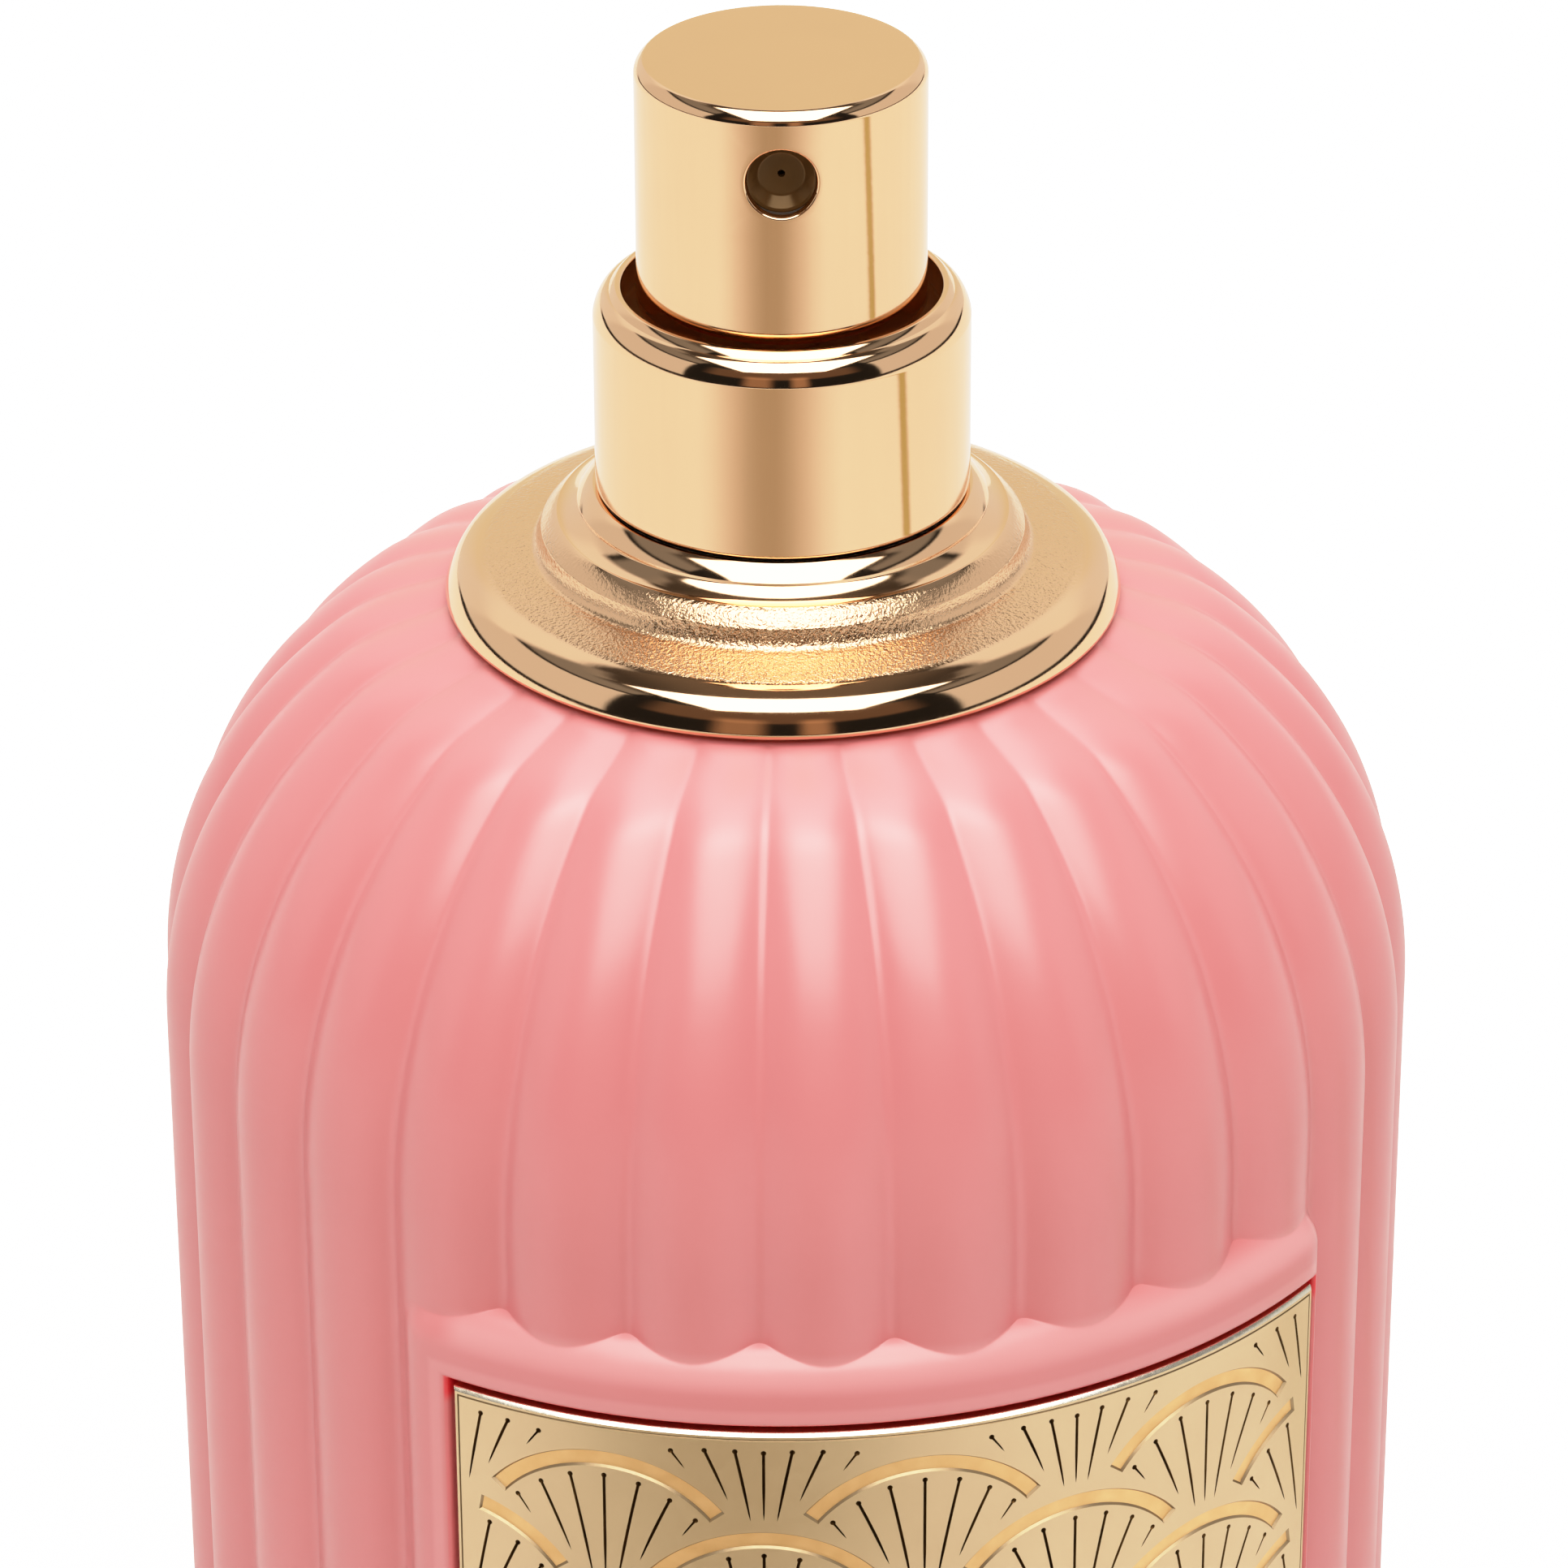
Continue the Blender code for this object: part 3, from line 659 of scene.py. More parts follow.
class Etching:
    """Cut lines and etched floors, as points, edges and depths in the plane."""

    def __init__(self, half_width, height):
        self.points = []
        self.depths = []
        self.kinds = []
        self.edges = []
        self.bounds = (half_width, height)
        self.marks = []

    def add(self, p, depth, kind):
        self.points.append((float(p[0]), float(p[1])))
        self.depths.append(depth)
        self.kinds.append(kind)
        return len(self.points) - 1

    def path(self, ids, closed=False):
        self.edges += list(zip(ids, ids[1:]))
        if closed:
            self.edges.append((ids[-1], ids[0]))

    def stroke(self, line, widths, depth=LINE_DEPTH):
        """A V-cut that follows a line and runs out to nothing at both ends."""
        line = np.asarray(line, float)
        if len(line) < 4:
            return
        along = np.gradient(line, axis=0)
        along /= np.maximum(np.linalg.norm(along, axis=1, keepdims=True), 1e-9)
        side = np.stack([-along[:, 1], along[:, 0]], 1)
        widths = np.asarray(widths, float)
        most = widths.max()
        first, last = self.add(line[0], 0.0, 0), self.add(line[-1], 0.0, 0)
        left, middle, right = [first], [first], [first]
        for p, s, w in zip(line[1:-1], side[1:-1], widths[1:-1]):
            left.append(self.add(p + s * w / 2, 0.0, 0))
            middle.append(self.add(p, -depth * (0.35 + 0.65 * w / most), 1))
            right.append(self.add(p - s * w / 2, 0.0, 0))
        for ids in (left, middle, right):
            self.path(ids + [last])
        self.marks.append(line)

    def floor(self, loop, inner):
        """An etched floor: an outline at the surface and one a little inside
        it at the floor's depth."""
        outer_ids = [self.add(p, 0.0, 0) for p in loop]
        inner_ids = [self.add(p, -FLOOR_DEPTH, 2) for p in inner]
        self.path(outer_ids, True)
        self.path(inner_ids, True)
        self.marks.append(np.asarray(loop, float))


def clear_of(p, fronts, margin):
    return all((p[0] - c[0]) ** 2 + (p[1] - c[1]) ** 2 > (FAN_R + margin) ** 2 for c in fronts)


def runs(points, keep):
    """The stretches of a line whose points are kept."""
    made, now = [], []
    for p, k in zip(points, keep):
        if k:
            now.append(p)
        elif now:
            made.append(now)
            now = []
    if now:
        made.append(now)
    return made


def lay_fans(etching):
    """Rows of overlapping round fans with an etched border band and rays."""
    half, height = etching.bounds
    rows = fan_centres(half * 2, height)
    border = 0.42

    def inside(p):
        return abs(p[0]) < half - border and border < p[1] < height - border

    band = (FAN_R - 0.28, FAN_R - 1.12)
    for k, row in enumerate(rows):
        fronts = [c for r in rows[k + 1 : k + 3] for c in r]
        for cx, cy in row:
            # The band just inside the fan's edge.
            angles = np.radians(np.arange(-30, 210.1, 2.0))
            mid = sum(band) / 2
            points = [(cx + mid * math.cos(a), cy + mid * math.sin(a)) for a in angles]
            hw = (band[0] - band[1]) / 2
            keep = [inside(p) and clear_of(p, fronts, hw + 0.20) and abs(p[0]) < half - border - hw and border + hw < p[1] < height - border - hw for p in points]
            for run in runs(list(angles), keep):
                if len(run) < 5:
                    continue
                bevel = 0.09
                outer = [(band[0], a) for a in run] + [(band[1], a) for a in reversed(run)]
                trim = bevel / mid
                run_in = [run[0] + trim] + run[1:-1] + [run[-1] - trim]
                inner = [(band[0] - bevel, a) for a in run_in] + [(band[1] + bevel, a) for a in reversed(run_in)]
                etching.floor(
                    [(cx + r * math.cos(a), cy + r * math.sin(a)) for r, a in outer],
                    [(cx + r * math.cos(a), cy + r * math.sin(a)) for r, a in inner],
                )
            # Rays bending outwards from a point below the centre, each with a
            # round head at its outer end.
            focus = (cx, cy - FAN_ROW * 1.02)
            for turn in np.arange(-63, 64, 9.0):

                def ray(s):
                    a = math.radians(90 + turn * (0.82 + 0.03 * s))
                    return (focus[0] + s * math.cos(a), focus[1] + s * math.sin(a))

                steps = np.arange(0.3, FAN_R * 2, 0.08)
                keep = []
                for s in steps:
                    p = ray(s)
                    keep.append(inside(p) and clear_of(p, fronts, 0.26) and math.hypot(p[0] - cx, p[1] - cy) < band[1] - 0.26)
                for run in runs(list(steps), keep):
                    first, last = run[0], run[-1]
                    if last - first < 1.1:
                        continue
                    head = 0.125
                    body = np.linspace(first, last - 0.42, max(4, int((last - first) / 0.34)))
                    tip = last - head + head * np.cos(np.radians([150, 120, 90, 60, 30, 0]))
                    at = np.concatenate([body, [last - 0.31], tip])
                    lean = np.minimum(1.0, (at - first) / 1.6)
                    wide = 0.055 + 0.085 * lean
                    knob = 2 * np.sqrt(np.maximum(head**2 - (at - (last - head)) ** 2, 0.0))
                    etching.stroke([ray(s) for s in at], np.where(at > last - head, np.maximum(knob, 0.02), np.maximum(wide, knob)), 0.13)


def make_plaque():
    """A curved plate with a chamfered rim, etched on its face."""
    per_mm = math.degrees(1 / PLAQUE_R[1])
    half = PLAQUE_HALF / per_mm
    low, high = PLAQUE_Z
    height = high - low
    edge, face_r = 0.37, PLAQUE_R[1] - 0.02
    columns, rows = 86, 28
    etching = Etching(half - edge, height - 2 * edge)
    fw, fh = etching.bounds

    # Rim of the face, anticlockwise from the lower left corner.
    xs = np.linspace(-fw, fw, columns + 1)
    ys = np.linspace(0, fh, rows + 1)
    rim = [(x, 0.0) for x in xs] + [(fw, y) for y in ys[1:]]
    rim += [(x, fh) for x in xs[-2::-1]] + [(-fw, y) for y in ys[-2:0:-1]]
    rim_ids = [etching.add(p, 0.0, 0) for p in rim]
    etching.path(rim_ids, True)
    lay_fans(etching)

    # Points in the open field, kept off the cuts.
    taken = np.concatenate([np.asarray(m) for m in etching.marks])
    cell = 0.5
    busy = {(int(math.floor(x / cell)), int(math.floor(y / cell))) for x, y in taken}
    for y in np.arange(0.6, fh - 0.5, 0.9):
        for x in np.arange(-fw + 0.45, fw - 0.4, 0.5):
            i, j = int(math.floor(x / cell)), int(math.floor(y / cell))
            if not any((i + di, j + dj) in busy for di in (-1, 0, 1) for dj in (-1, 0, 1)):
                etching.add((x, y), 0.0, 0)

    flat = [Vector(p) for p in etching.points]
    made = delaunay_2d_cdt(flat, etching.edges, [], 0, 1e-6, True)
    verts, faces, origins = made[0], made[2], made[3]
    depth = [etching.depths[o[0]] if o else 0.0 for o in origins]
    kind = [etching.kinds[o[0]] if o else 0 for o in origins]
    first_of = {}
    for new, source in enumerate(origins):
        for s in source:
            first_of[s] = new

    def curved(x, y, r):
        a = x / PLAQUE_R[1]
        return (r * math.sin(a), -r * math.cos(a), low + edge + y)

    points = [curved(v[0], v[1], face_r + d) for v, d in zip(verts, depth)]
    all_faces, cut, satin, rim_of = [], [], [], []
    for f in faces:
        kinds = [kind[i] for i in f]
        all_faces.append(list(f))
        cut.append(1.0 if 1 in kinds else (0.55 if 2 in kinds and 0 in kinds else 0.0))
        satin.append(1.0 if all(k == 2 for k in kinds) else 0.0)
        rim_of.append(0.0)

    # A scribed border line, the polished chamfer with a painted highlight in its colour, the sides and the back.
    loop = [first_of[i] for i in rim_ids]

    def rim_ring(out, r):
        made = []
        for x, y in rim:
            sx = 1 if abs(x - fw) < 1e-6 else (-1 if abs(x + fw) < 1e-6 else 0)
            sy = 1 if abs(y - fh) < 1e-6 else (-1 if abs(y) < 1e-6 else 0)
            points.append(curved(x + sx * out, y + sy * out, r))
            made.append(len(points) - 1)
        return made

    before = loop
    for out, r, dark, bright in (
        (0.045, face_r - 0.05, 0.8, 0.0),
        (0.09, face_r - 0.01, 0.8, 0.0),
        (0.12, face_r - 0.01, 0.0, 0.0),
        (0.21, face_r - 0.012, 0.0, 0.0),
        (0.345, face_r - 0.147, 0.0, 1.0),
        (edge, face_r - 0.20, 0.0, 0.6),
        (edge, PLAQUE_R[0], 0.0, 0.0),
    ):
        ring = rim_ring(out, r)
        n = len(ring)
        for i in range(n):
            j = (i + 1) % n
            all_faces.append([before[i], ring[i], ring[j], before[j]])
            cut.append(dark)
            satin.append(0.0)
            rim_of.append(bright)
        before = ring
    back = {}
    for index, (x, y) in enumerate(rim):
        i = int(round((x + fw) / (2 * fw) * columns))
        j = int(round(y / fh * rows))
        back[i, j] = before[index]
    for i in range(columns + 1):
        for j in range(rows + 1):
            if (i, j) not in back:
                points.append(curved(xs[i], ys[j], PLAQUE_R[0]))
                back[i, j] = len(points) - 1
    for i in range(columns):
        for j in range(rows):
            all_faces.append([back[i, j], back[i, j + 1], back[i + 1, j + 1], back[i + 1, j]])
            cut.append(0.0)
            satin.append(0.0)
            rim_of.append(0.0)
    obj = new_mesh("etched_plaque", np.array(points), all_faces, 22.0)
    for name, values in (("cut", cut), ("satin", satin), ("rim", rim_of)):
        layer = obj.data.attributes.new(name, "FLOAT", "FACE")
        if len(values) == len(obj.data.polygons):
            layer.data.foreach_set("value", np.array(values, np.float32))
    return obj


# -------------------------------------------------------------------- gold trim
def make_ring():
    """A drawn ring: a rounded chamfer at its bore, a cove, a rounded tier, a
    grained shoulder and a bold rolled lip."""
    outline = rounded([(8.32, 78.15), (8.32, 83.40, 0.1), (8.60, 83.40)], closed=False, steps=5)
    outline += arc(7.343, 81.364, 2.4, 58, 36, 9) + [(9.31, 82.74), (9.31, 82.60)]
    outline += bezier((9.33, 82.57), (9.856, 82.133), (10.2, 82.06), 10)
    outline += arc(10.24, 82.0, 0.06, 90, 50, 3)
    outline += bezier((10.30, 82.03), (10.6207, 81.8052), (11.0, 81.32), 8)
    outline += bezier((11.01, 81.28), (11.16, 80.455), (11.52, 80.41), 12)
    outline += eased_edge(11.52, 80.41, (23.4,), (83, 77.65), 12)[1:]
    outline += eased_edge(*outline[-1], (3.1, 1.38, 3.0, 0.2), (76, 58.7, 34.4, 14, -60), 8)[1:]
    outline += rounded([(15.29, 78.08), (14.9, 78.02, 0.05), (14.6, 78.02), (13.6, 78.02, 0.1), (13.2, 78.9, 0.2), (11.0, 79.5, 0.2), (9.6, 79.9, 0.2), (9.4, 78.02, 0.1), (8.5, 78.02)], closed=False, steps=3)
    return lathe("gold_shoulder_ring", outline, 208)


def make_collar():
    inner, centre_z = 7.2, 91.87
    outline = [(inner, 91.88), (inner, 92.9)] + arc(inner + 0.12, 93.05, 0.12, 180, 90, 4)
    outline += eased_edge(inner + 0.22, 93.17, (0.12, 1.4), (90, 52.5, 38), 6)
    outline += eased_edge(*outline[-1], (0.75, 1.12, 1.94, 0.5), (72, 52.5, 31.5, 12, 0), 7)[1:]
    outline += rounded([(8.5, 91.4), (8.5, 83.5, 0.24), (8.15, 83.5, 0.06), (8.15, 91.0)], closed=False, steps=5)[1:]
    outline += arc(inner, centre_z, 0.95, 4, 66, 8) + [(7.48, 92.5), (7.46, 91.88)]
    return lathe("gold_collar", outline, 160)


def make_button():
    """The button's cap: a drawn shell with a rolled edge and an opening for
    the nozzle, made as a grid with a round patch let into its wall."""
    r, wall, top, low = BUTTON_R, 0.4, BUTTON_TOP, 92.4
    reach, cells = 2.6, 16
    half = math.degrees(reach / r)
    window = NOZZLE_AZIMUTH + np.linspace(-half, half, cells + 1)
    rest = np.linspace(NOZZLE_AZIMUTH + half, NOZZLE_AZIMUTH + 360 - half, 112)[1:-1]
    degrees = np.concatenate([window, rest])
    levels = np.concatenate([np.linspace(low + 0.12, NOZZLE_Z - reach, 14)[:-1], np.linspace(NOZZLE_Z - reach, NOZZLE_Z + reach, cells + 1), [103.37]])
    first = 13
    skin = Skin()

    def wall_grid(radius):
        rings = [skin.ring(degrees, radius, z) for z in levels]
        for k, (a, b) in enumerate(zip(rings, rings[1:])):
            n = len(degrees)
            for i in range(n):
                if first <= k < first + cells and i < cells:
                    continue
                j = (i + 1) % n
                skin.faces.append([int(a[i]), int(a[j]), int(b[j]), int(b[i])])
        return rings

    def hole_rings(rings, radius, circles):
        """Rings from the square window in to the round opening; each circle
        is (radius of the ring, how far it dips)."""
        square, flat = [], []
        step = 2 * reach / cells
        walk = [(i, 0) for i in range(cells)] + [(cells, j) for j in range(cells)]
        walk += [(cells - i, cells) for i in range(cells)] + [(0, cells - j) for j in range(cells)]
        for i, j in walk:
            square.append(int(rings[first + j][i]))
            flat.append((-reach + i * step, -reach + j * step))
        flat = np.array(flat)
        around = np.arctan2(flat[:, 1], flat[:, 0])
        made = [np.array(square)]
        for share in (0.3, 0.6, 0.85):
            big = circles[0][0]
            ring = flat * (1 - share) + big * np.stack([np.cos(around), np.sin(around)], 1) * share
            made.append(place(ring, radius))
        for big, dip in circles:
            made.append(place(big * np.stack([np.cos(around), np.sin(around)], 1), radius - dip))
        for a, b in zip(made, made[1:]):
            skin.bridge(a, b)
        return made[-1]

    def place(flat, radius):
        a = np.radians(NOZZLE_AZIMUTH) + np.arcsin(np.clip(flat[:, 0] / r, -1, 1))
        rr = np.broadcast_to(radius, a.shape)
        return skin.add(np.stack([rr * np.sin(a), -rr * np.cos(a), NOZZLE_Z + flat[:, 1]], 1))

    outer = wall_grid(r)
    q = 0.11
    circles = [(1.6 + q, 0.0)] + [(1.6 + q - q * math.sin(math.radians(a)), q * (1 - math.cos(math.radians(a)))) for a in (15, 30, 45, 60, 75, 90)]
    rim = hole_rings(outer, r, circles)
    inner_wall = wall_grid(r - wall)
    n_faces = len(skin.faces)
    back = hole_rings(inner_wall, r - wall, [(1.75, 0.0), (1.6, 0.0)])
    skin.bridge(rim, back)
    # Rolled top edge and face, outside then inside.
    rings = [outer[-1]]
    edge = eased_edge(r - 0.49, top, (0.2, 1.15, 0.6, 0.3), (90, 53, 32, 10, 0), 5)
    for rr, z in reversed(edge[:-1]):
        rings.append(skin.ring(degrees, rr, z))
    for rr in (5.6, 4.6, 3.2, 1.6):
        rings.append(skin.ring(degrees, rr, top))
    for a, b in zip(rings, rings[1:]):
        skin.bridge(a, b)
    skin.fan(rings[-1], int(skin.add([(0, 0, top)])[0]))
    under = [inner_wall[-1], skin.ring(degrees, r - wall - 0.15, top - wall), skin.ring(degrees, 3.0, top - wall)]
    for a, b in zip(under, under[1:]):
        skin.bridge(a, b)
    skin.fan(under[-1], int(skin.add([(0, 0, top - wall)])[0]))
    # Foot of the wall.
    foot = [outer[0], skin.ring(degrees, r - 0.04, low + 0.03), skin.ring(degrees, r - 0.12, low), skin.ring(degrees, r - wall + 0.1, low), inner_wall[0]]
    for a, b in zip(foot, foot[1:]):
        skin.bridge(b, a)
    obj = skin.build("gold_button", 32.0)
    return turn_faces_out(obj)


def turn_faces_out(obj):
    import bmesh

    bm = bmesh.new()
    bm.from_mesh(obj.data)
    bmesh.ops.recalc_face_normals(bm, faces=bm.faces)
    bm.to_mesh(obj.data)
    bm.free()
    obj.data.update()
    return obj


def make_nozzle():
    outline = rounded(
        [(0.16, 4.5), (0.16, 5.26, 0.03), (0.55, 5.24), (1.02, 5.33, 0.2), (1.46, 5.74, 0.06), (1.6, 5.8, 0.08), (1.9, 5.5, 0.08), (1.9, 2.75), (1.3, 2.75), (1.3, 4.3)],
        steps=5,
    )
    obj = lathe("spray_nozzle", outline, 64)
    turn = math.radians(NOZZLE_AZIMUTH)
    co = np.zeros(len(obj.data.vertices) * 3, np.float32)
    obj.data.vertices.foreach_get("co", co)
    co = co.reshape(-1, 3)
    side, up, out = co[:, 0].copy(), co[:, 1].copy(), co[:, 2].copy()
    placed = np.stack(
        [side * math.cos(turn) + out * math.sin(turn), side * math.sin(turn) - out * math.cos(turn), up + NOZZLE_Z * MM], 1
    )
    obj.data.vertices.foreach_set("co", placed.astype(np.float32).ravel())
    return turn_faces_out(obj)


def make_spring(name, mean_r, wire_r, low, high, turns):
    """A round-wire compression spring with closed ends."""
    per_turn, sides = 36, 12
    count = int(turns * per_turn)
    ease = smoothstep(np.minimum(np.arange(count) + 0.5, count - np.arange(count) - 0.5) / (0.6 * per_turn))
    climb = np.concatenate([[0], np.cumsum(ease)]) / ease.sum()
    z = low + wire_r + (high - low - 2 * wire_r) * climb
    a = 2 * np.pi * np.arange(count + 1) / per_turn
    skin = Skin()
    rings = []
    for ai, zi in zip(a, z):
        phi = 2 * np.pi * np.arange(sides) / sides
        rr = mean_r + wire_r * np.cos(phi)
        rings.append(skin.add(np.stack([rr * math.cos(ai), rr * math.sin(ai), zi + wire_r * np.sin(phi)], 1)))
    for p, q in zip(rings, rings[1:]):
        skin.bridge(p, q)
    skin.faces.append([int(i) for i in rings[0]][::-1])
    skin.faces.append([int(i) for i in rings[-1]])
    return turn_faces_out(skin.build(name, 40.0))


# ----------------------------------------------------------------------- stage
def make_world():
    """A white tent: a soft box above the front, a dark opening round the lens
    and dim cloth overhead."""
    world = bpy.data.worlds.new("studio")
    bpy.context.scene.world = world
    world.use_nodes = True
    g = Graph(world.node_tree)
    way = g.node("ShaderNodeTexCoord").outputs["Generated"]
    turned = g.node("ShaderNodeVectorRotate", {"Vector": way, "Angle": math.radians(-CAMERA_AZIMUTH)}, rotation_type="Z_AXIS")
    x, y, z = g.node("ShaderNodeSeparateXYZ", {"Vector": turned.outputs["Vector"]}).outputs
    deg = 180 / math.pi
    across = g.math("MULTIPLY", g.math("ARCTAN2", x, g.math("MULTIPLY", y, -1.0)), deg)
    up = g.math("MULTIPLY", g.math("ARCSINE", z), deg)
    wide = g.math("ABSOLUTE", across)

    def scaled(value, by):
        return g.math("MULTIPLY", value, by)

    def total(*values):
        made = values[0]
        for value in values[1:]:
            made = g.math("ADD", made, value)
        return made

    horizon = g.math("MAXIMUM", g.ease(up, 1.5, 3.5), g.ease(wide, 138.0, 146.0))
    # The soft box is a level rectangle; px and py are its sideways and forward
    # reach for each unit of height.
    high = g.math("MAXIMUM", z, 0.02)
    px = g.math("DIVIDE", x, high)
    py = g.math("DIVIDE", g.math("MULTIPLY", y, -1.0), high)
    box = g.math("MULTIPLY", g.span(px, -0.56, 0.63, 0.03), g.span(py, 0.0, 1.14, 0.03))
    frame_of = g.math("MULTIPLY", g.span(px, -0.68, 0.75, 0.10), g.span(py, -0.12, 1.26, 0.06))
    lens = total(scaled(g.span(across, -22.0, -7.0, 4.0), 0.26), scaled(g.span(across, 6.0, 15.0, 3.0), 0.30))
    side = total(scaled(g.ease(up, 37.0, 39.5, 1.0, 0.0), 0.74), scaled(g.span(up, 42.0, 60.0, 2.0), 0.24))
    lift = g.ease(wide, 154.0, 169.0, 12.0, 0.0)
    back = scaled(g.ease(g.math("SUBTRACT", up, lift), 41.5, 46.0, 1.0, 0.0), total(scaled(g.ease(up, 25.0, 36.0), 0.14), 0.86))
    above = g.math("MAXIMUM", g.ease(up, 75.5, 78.0), g.math("MULTIPLY", g.ease(up, 53.5, 59.5), g.ease(wide, 58.5, 61.5)))
    light = total(
        scaled(scaled(side, g.ease(wide, 58.5, 61.5)), g.ease(wide, 125.0, 135.0, 1.0, 0.0)),
        scaled(back, g.ease(wide, 125.0, 135.0)),
    )
    light = scaled(light, g.math("SUBTRACT", 1.0, frame_of))
    light = total(scaled(light, horizon), scaled(box, 4.8), 0.016)
    low_back = g.math("MULTIPLY", g.ease(wide, 150.0, 166.0), g.ease(up, 24.0, 37.0, 1.0, 0.0))
    tint = g.mix(low_back, (1.0, 0.985, 0.93), (0.98, 0.93, 0.70))
    white = g.node("ShaderNodeBackground", {"Color": tint, "Strength": light})
    brow = scaled(scaled(g.span(up, 21.0, 40.5, 2.0), g.ease(wide, 40.0, 52.0, 1.0, 0.0)), g.math("SUBTRACT", 1.0, box))
    facing = g.ease(wide, 53.0, 57.0, 1.0, 0.0)
    lens = scaled(scaled(lens, g.ease(up, 22.0, 30.0, 1.0, 0.0)), horizon)
    warm = g.mix(g.math("MULTIPLY", facing, g.ease(up, 38.0, 41.0, 1.0, 0.0)), (1.0, 0.80, 0.60), (1.0, 0.60, 0.36))
    dim = g.node("ShaderNodeBackground", {"Color": warm, "Strength": total(scaled(scaled(above, g.ease(g.math("ABSOLUTE", px), 0.12, 0.42, 1.0, 0.3)), 0.15), scaled(brow, 0.13), scaled(lens, 1.25))})
    tent = g.node("ShaderNodeAddShader")
    g.tree.links.new(white.outputs[0], tent.inputs[0])
    g.tree.links.new(dim.outputs[0], tent.inputs[1])
    plain = g.node("ShaderNodeBackground", {"Color": (1.0, 1.0, 1.0, 1.0), "Strength": 2.4})
    seen = g.node("ShaderNodeLightPath").outputs["Is Camera Ray"]
    both = g.node("ShaderNodeMixShader", {"Fac": seen})
    g.tree.links.new(tent.outputs[0], both.inputs[1])
    g.tree.links.new(plain.outputs[0], both.inputs[2])
    out = g.node("ShaderNodeOutputWorld")
    g.tree.links.new(both.outputs[0], out.inputs["Surface"])


def make_stage():
    mesh = bpy.data.meshes.new("floor")
    s = 3.0
    mesh.from_pydata([(-s, -s, 0), (s, -s, 0), (s, s, 0), (-s, s, 0)], [], [(0, 1, 2, 3)])
    floor = bpy.data.objects.new("floor", mesh)
    bpy.context.scene.collection.objects.link(floor)
    material, g, shader = new_material("pale_floor")
    paper = g.noise(g.place(), 40.0, 3.0)
    g.set(shader, "Base Color", g.ramp(paper, [(0.3, (0.85, 0.85, 0.85)), (0.7, (0.87, 0.87, 0.87))]))
    shader.inputs["Roughness"].default_value = 0.9
    shader.inputs["Specular IOR Level"].default_value = 0.0
    shader.inputs["Emission Color"].default_value = (1, 1, 1, 1)
    seen = g.node("ShaderNodeLightPath").outputs["Is Camera Ray"]
    g.set(shader, "Emission Strength", g.math("MULTIPLY", seen, 1.0))
    mesh.materials.append(material)

    # A cloth on the floor below the lens and a thin strip to its right, seen
    # only in reflections; both fade out sideways.
    mesh = bpy.data.meshes.new("floor_cloth")
    inner, outer, count = 0.075, 0.9, 48
    turn = math.radians(CAMERA_AZIMUTH)
    pts, faces = [], []
    for k in range(count + 1):
        a = turn + math.radians(-75 + 180 * k / count)
        pts += [(inner * math.sin(a), -inner * math.cos(a), 0.001), (outer * math.sin(a), -outer * math.cos(a), 0.001)]
    for k in range(count):
        faces.append((2 * k, 2 * k + 1, 2 * k + 3, 2 * k + 2))
    mesh.from_pydata(pts, [], faces)
    cloth = bpy.data.objects.new("floor_cloth", mesh)
    bpy.context.scene.collection.objects.link(cloth)
    material = bpy.data.materials.new("floor_cloth")
    material.use_nodes = True
    g = Graph(material.node_tree)
    x, y, _ = g.node("ShaderNodeSeparateXYZ", {"Vector": g.place()}).outputs
    angle = g.math("MULTIPLY", g.math("ARCTAN2", x, g.math("MULTIPLY", y, -1.0)), 180 / math.pi)
    angle = g.math("SUBTRACT", angle, CAMERA_AZIMUTH)
    cover = g.ease(g.math("ABSOLUTE", g.math("ADD", angle, 8.0)), 2.0, 46.0, 1.0, 0.0)
    reach = g.math("SQRT", g.math("ADD", g.math("MULTIPLY", x, x), g.math("MULTIPLY", y, y)))
    leant = g.math("ADD", angle, g.math("MULTIPLY", g.math("SUBTRACT", reach, 0.188), 150.0))
    strip = g.span(leant, 75.4, 81.2, 1.2)
    weave = g.noise(g.place(), 30.0, 2.0)
    brown = g.ramp(weave, [(0.3, (0.497, 0.430, 0.322)), (0.7, (0.517, 0.448, 0.338))])
    tint = g.mix(strip, brown, (0.60, 0.535, 0.232))
    glow = g.node("ShaderNodeEmission", {"Color": tint, "Strength": 1.0})
    clear = g.node("ShaderNodeBsdfTransparent")
    both = g.node("ShaderNodeMixShader", {"Fac": g.math("MAXIMUM", cover, strip)})
    g.tree.links.new(clear.outputs[0], both.inputs[1])
    g.tree.links.new(glow.outputs[0], both.inputs[2])
    out = g.node("ShaderNodeOutputMaterial")
    g.tree.links.new(both.outputs[0], out.inputs["Surface"])
    mesh.materials.append(material)
    cloth.visible_camera = False
    cloth.visible_diffuse = False
    cloth.visible_shadow = False
    cloth.visible_transmission = False


def make_overhead(lit):
    """A wide soft box straight above, flagged off everything but `lit`."""
    data = bpy.data.lights.new("overhead", "AREA")
    data.shape = "RECTANGLE"
    data.size, data.size_y = 0.24, 0.36
    data.energy = 3.7 * math.pi * data.size * data.size_y
    lamp = bpy.data.objects.new("overhead", data)
    a = math.radians(CAMERA_AZIMUTH)
    lamp.location = (-0.085 * math.sin(a), 0.085 * math.cos(a), 0.42)
    lamp.rotation_euler = (0, 0, a)
    lamp.visible_camera = False
    bpy.context.scene.collection.objects.link(lamp)
    group = bpy.data.collections.new("lit_from_above")
    for obj in lit:
        group.objects.link(obj)
    lamp.light_linking.receiver_collection = group


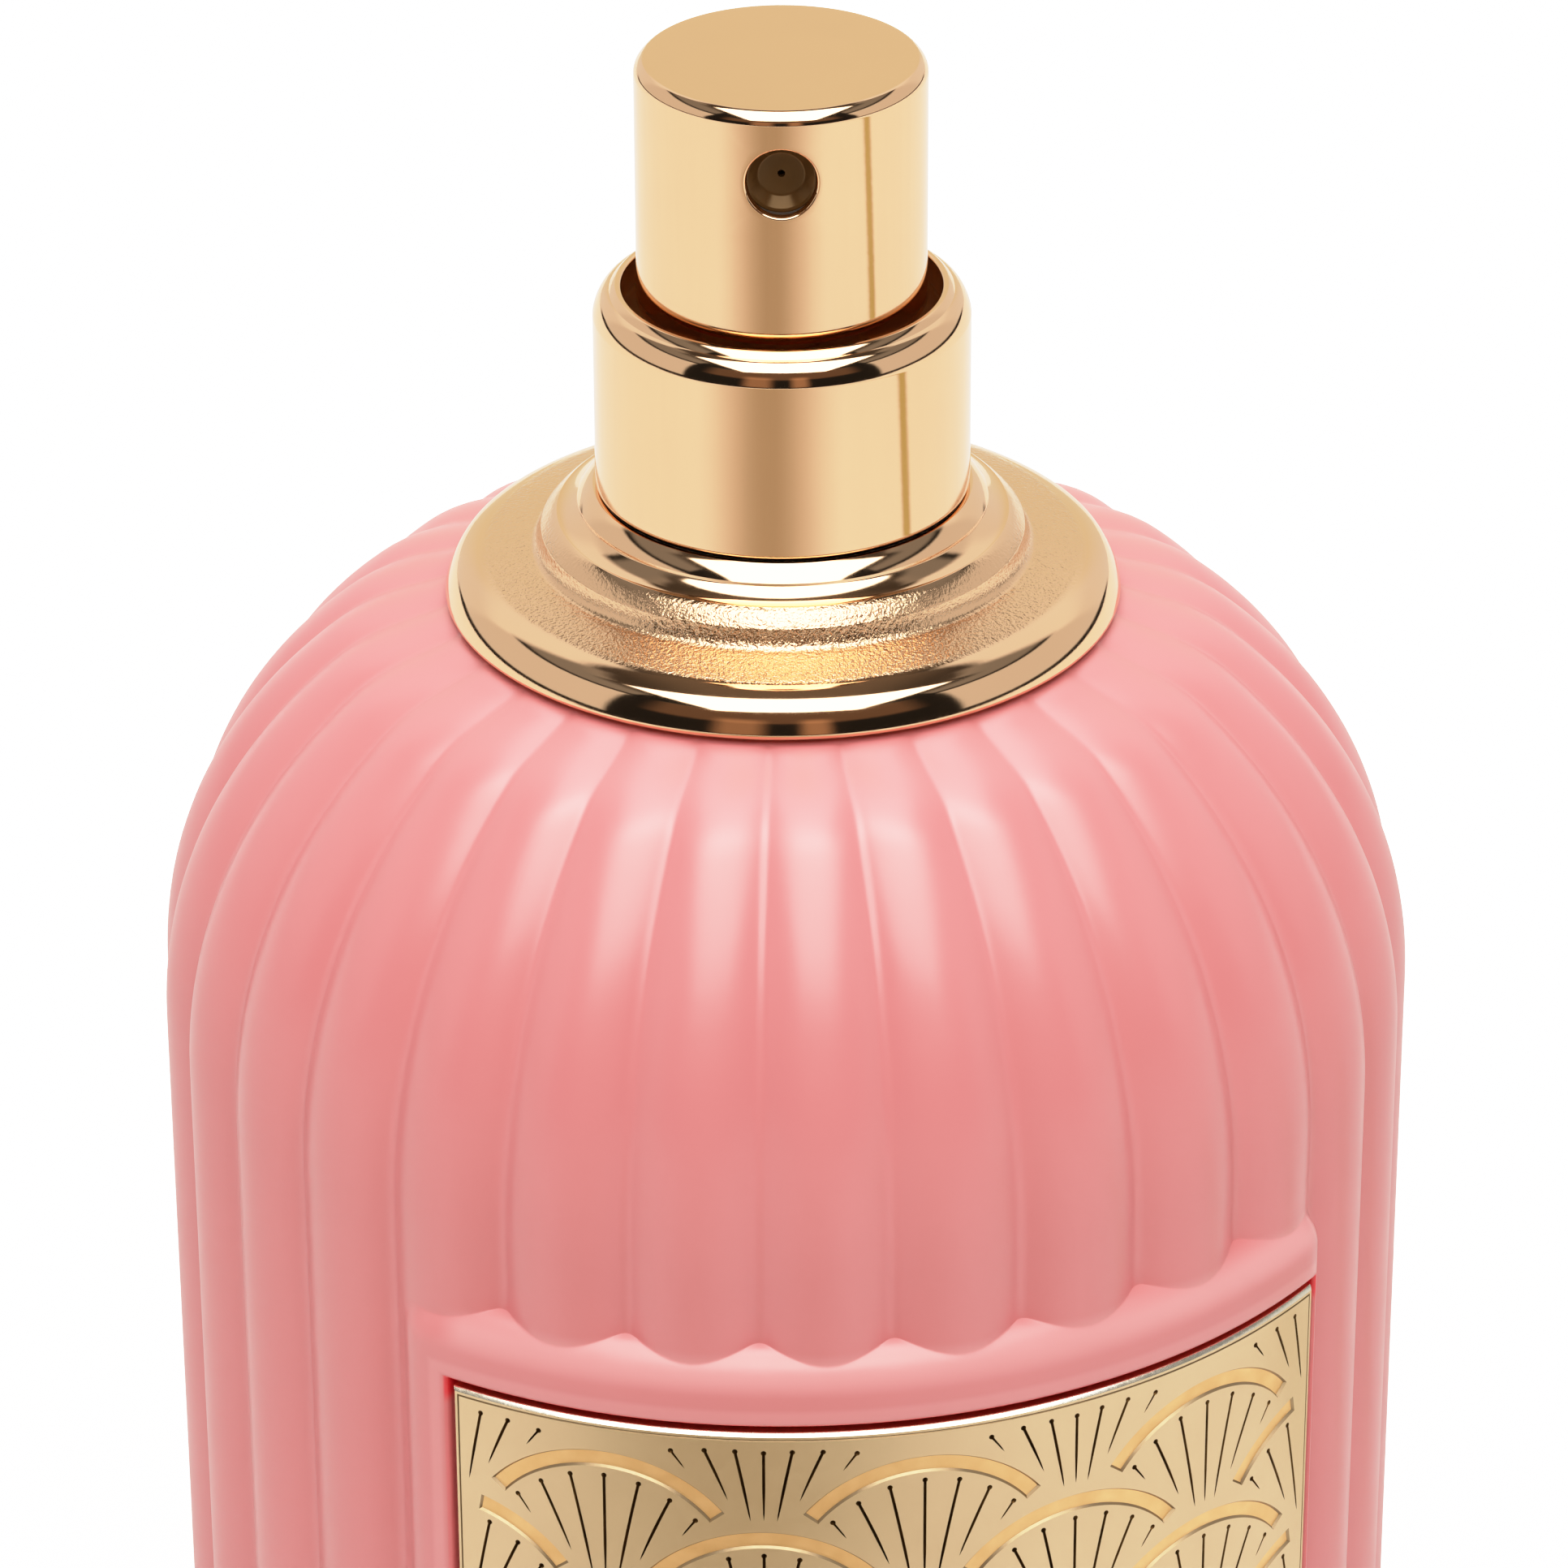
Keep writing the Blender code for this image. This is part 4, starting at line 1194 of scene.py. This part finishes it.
def soft_shoulder():
    """A camera-like tone curve: straight below mid tones, easing off to white."""
    view = bpy.context.scene.view_settings
    view.view_transform = "Standard"
    view.use_curve_mapping = True
    mapping = view.curve_mapping
    mapping.use_clip = True
    mapping.clip_min_x, mapping.clip_min_y = 0.0, 0.0
    mapping.clip_max_x, mapping.clip_max_y = 4.0, 1.0
    curve = mapping.curves[3]
    curve.points[0].location = (0.0, 0.0)
    curve.points[1].location = (4.0, 1.0)
    for at in ((0.25, 0.25), (0.5, 0.5), (0.75, 0.735), (1.0, 0.865), (1.3, 0.94), (1.7, 0.985), (2.2, 1.0)):
        curve.points.new(*at)
    mapping.update()


def make_camera():
    data = bpy.data.cameras.new("camera")
    data.lens = 169.5
    data.sensor_width = 36.0
    data.clip_start = 0.01
    data.clip_end = 20.0
    camera = bpy.data.objects.new("camera", data)
    a = math.radians(CAMERA_AZIMUTH)
    camera.location = (CAMERA_DISTANCE * math.sin(a) * MM, -CAMERA_DISTANCE * math.cos(a) * MM, CAMERA_Z * MM)
    tilt = Euler((math.radians(90 - CAMERA_PITCH), 0, a), "XYZ").to_matrix()
    roll = Euler((0, 0, math.radians(-0.25)), "XYZ").to_matrix()
    camera.rotation_euler = (tilt @ roll).to_euler("XYZ")
    bpy.context.scene.collection.objects.link(camera)
    bpy.context.scene.camera = camera


# -------------------------------------------------------------------- the scene
def main():
    make_camera()
    pink = lacquer()
    shiny = gold("gold_anodised", (0.90, 0.57, 0.345), 0.07)
    ringed = gold("gold_ring", (0.90, 0.57, 0.345), 0.07, grain_at=(10.4, 13.65))
    engraved = etched_gold()
    white = plastic("white_plastic", (0.84, 0.84, 0.82), (0.79, 0.79, 0.77), 0.45)
    natural = plastic("natural_plastic", (0.82, 0.83, 0.82), (0.75, 0.77, 0.77), 0.35, subsurface=0.3)
    # Painted reflection: the collar liner is tinted orange-brown, so that the gap round the button shows the warm tone
    # of light bounced between gold walls.
    liner_warm_reflection_tint = plastic("amber_plastic", (0.74, 0.28, 0.06), (0.66, 0.23, 0.045), 0.45)
    rubber = plastic("black_rubber", (0.045, 0.045, 0.046), (0.025, 0.025, 0.026), 0.75)
    tape = plastic("foam_tape", (0.86, 0.84, 0.79), (0.78, 0.76, 0.71), 0.85, 5200.0, 0.3)
    dark = plastic("dark_plastic", (0.085, 0.038, 0.010), (0.056, 0.024, 0.006), 0.24, 1400.0, 0.03)
    dark.node_tree.nodes["Principled BSDF"].inputs["Specular Tint"].default_value = (1.0, 0.66, 0.36, 1.0)
    tin = plain_metal("bare_aluminium", (0.80, 0.80, 0.81), (0.70, 0.70, 0.72), 0.32)
    steel = plain_metal("spring_steel", (0.60, 0.60, 0.61), (0.50, 0.50, 0.52), 0.28)

    glass = install(make_bottle(), "bottle", "glass_bottle", pink)
    install(make_plaque(), "bottle", "front_plaque", engraved)
    install(make_ring(), "bottle", "shoulder_ring", ringed)
    install(make_collar(), "bottle", "collar_shell", shiny)
    install(make_button(), "button", "button_shell", shiny)
    install(make_nozzle(), "button", "nozzle_insert", dark)
    coil = install(make_spring("pump_return_spring", 2.5, 0.2, 72.65, 78.65, 5), "bottle", "return_spring", steel)
    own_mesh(coil)
    coil = install(make_spring("pump_precompression_spring", 2.3, 0.17, 82.5, 85.1, 3.5), "stem", "precompression_spring", steel)
    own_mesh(coil)

    kept = {
        "plaque_tape": tape,
        "collar_liner": liner_warm_reflection_tint,
        "crimp_ferrule": tin,
        "neck_gasket": rubber,
        "pump_housing": natural,
        "turret": natural,
        "stem_gasket": rubber,
        "stem": white,
        "valve_pin": white,
        "piston": natural,
        "inlet_ball": steel,
        "dip_tube": natural,
        "button_core": white,
    }
    for node, material in kept.items():
        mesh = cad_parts[node].data
        mesh.materials.clear()
        mesh.materials.append(material)

    make_world()
    make_stage()
    make_overhead([glass])
    soft_shoulder()


main()
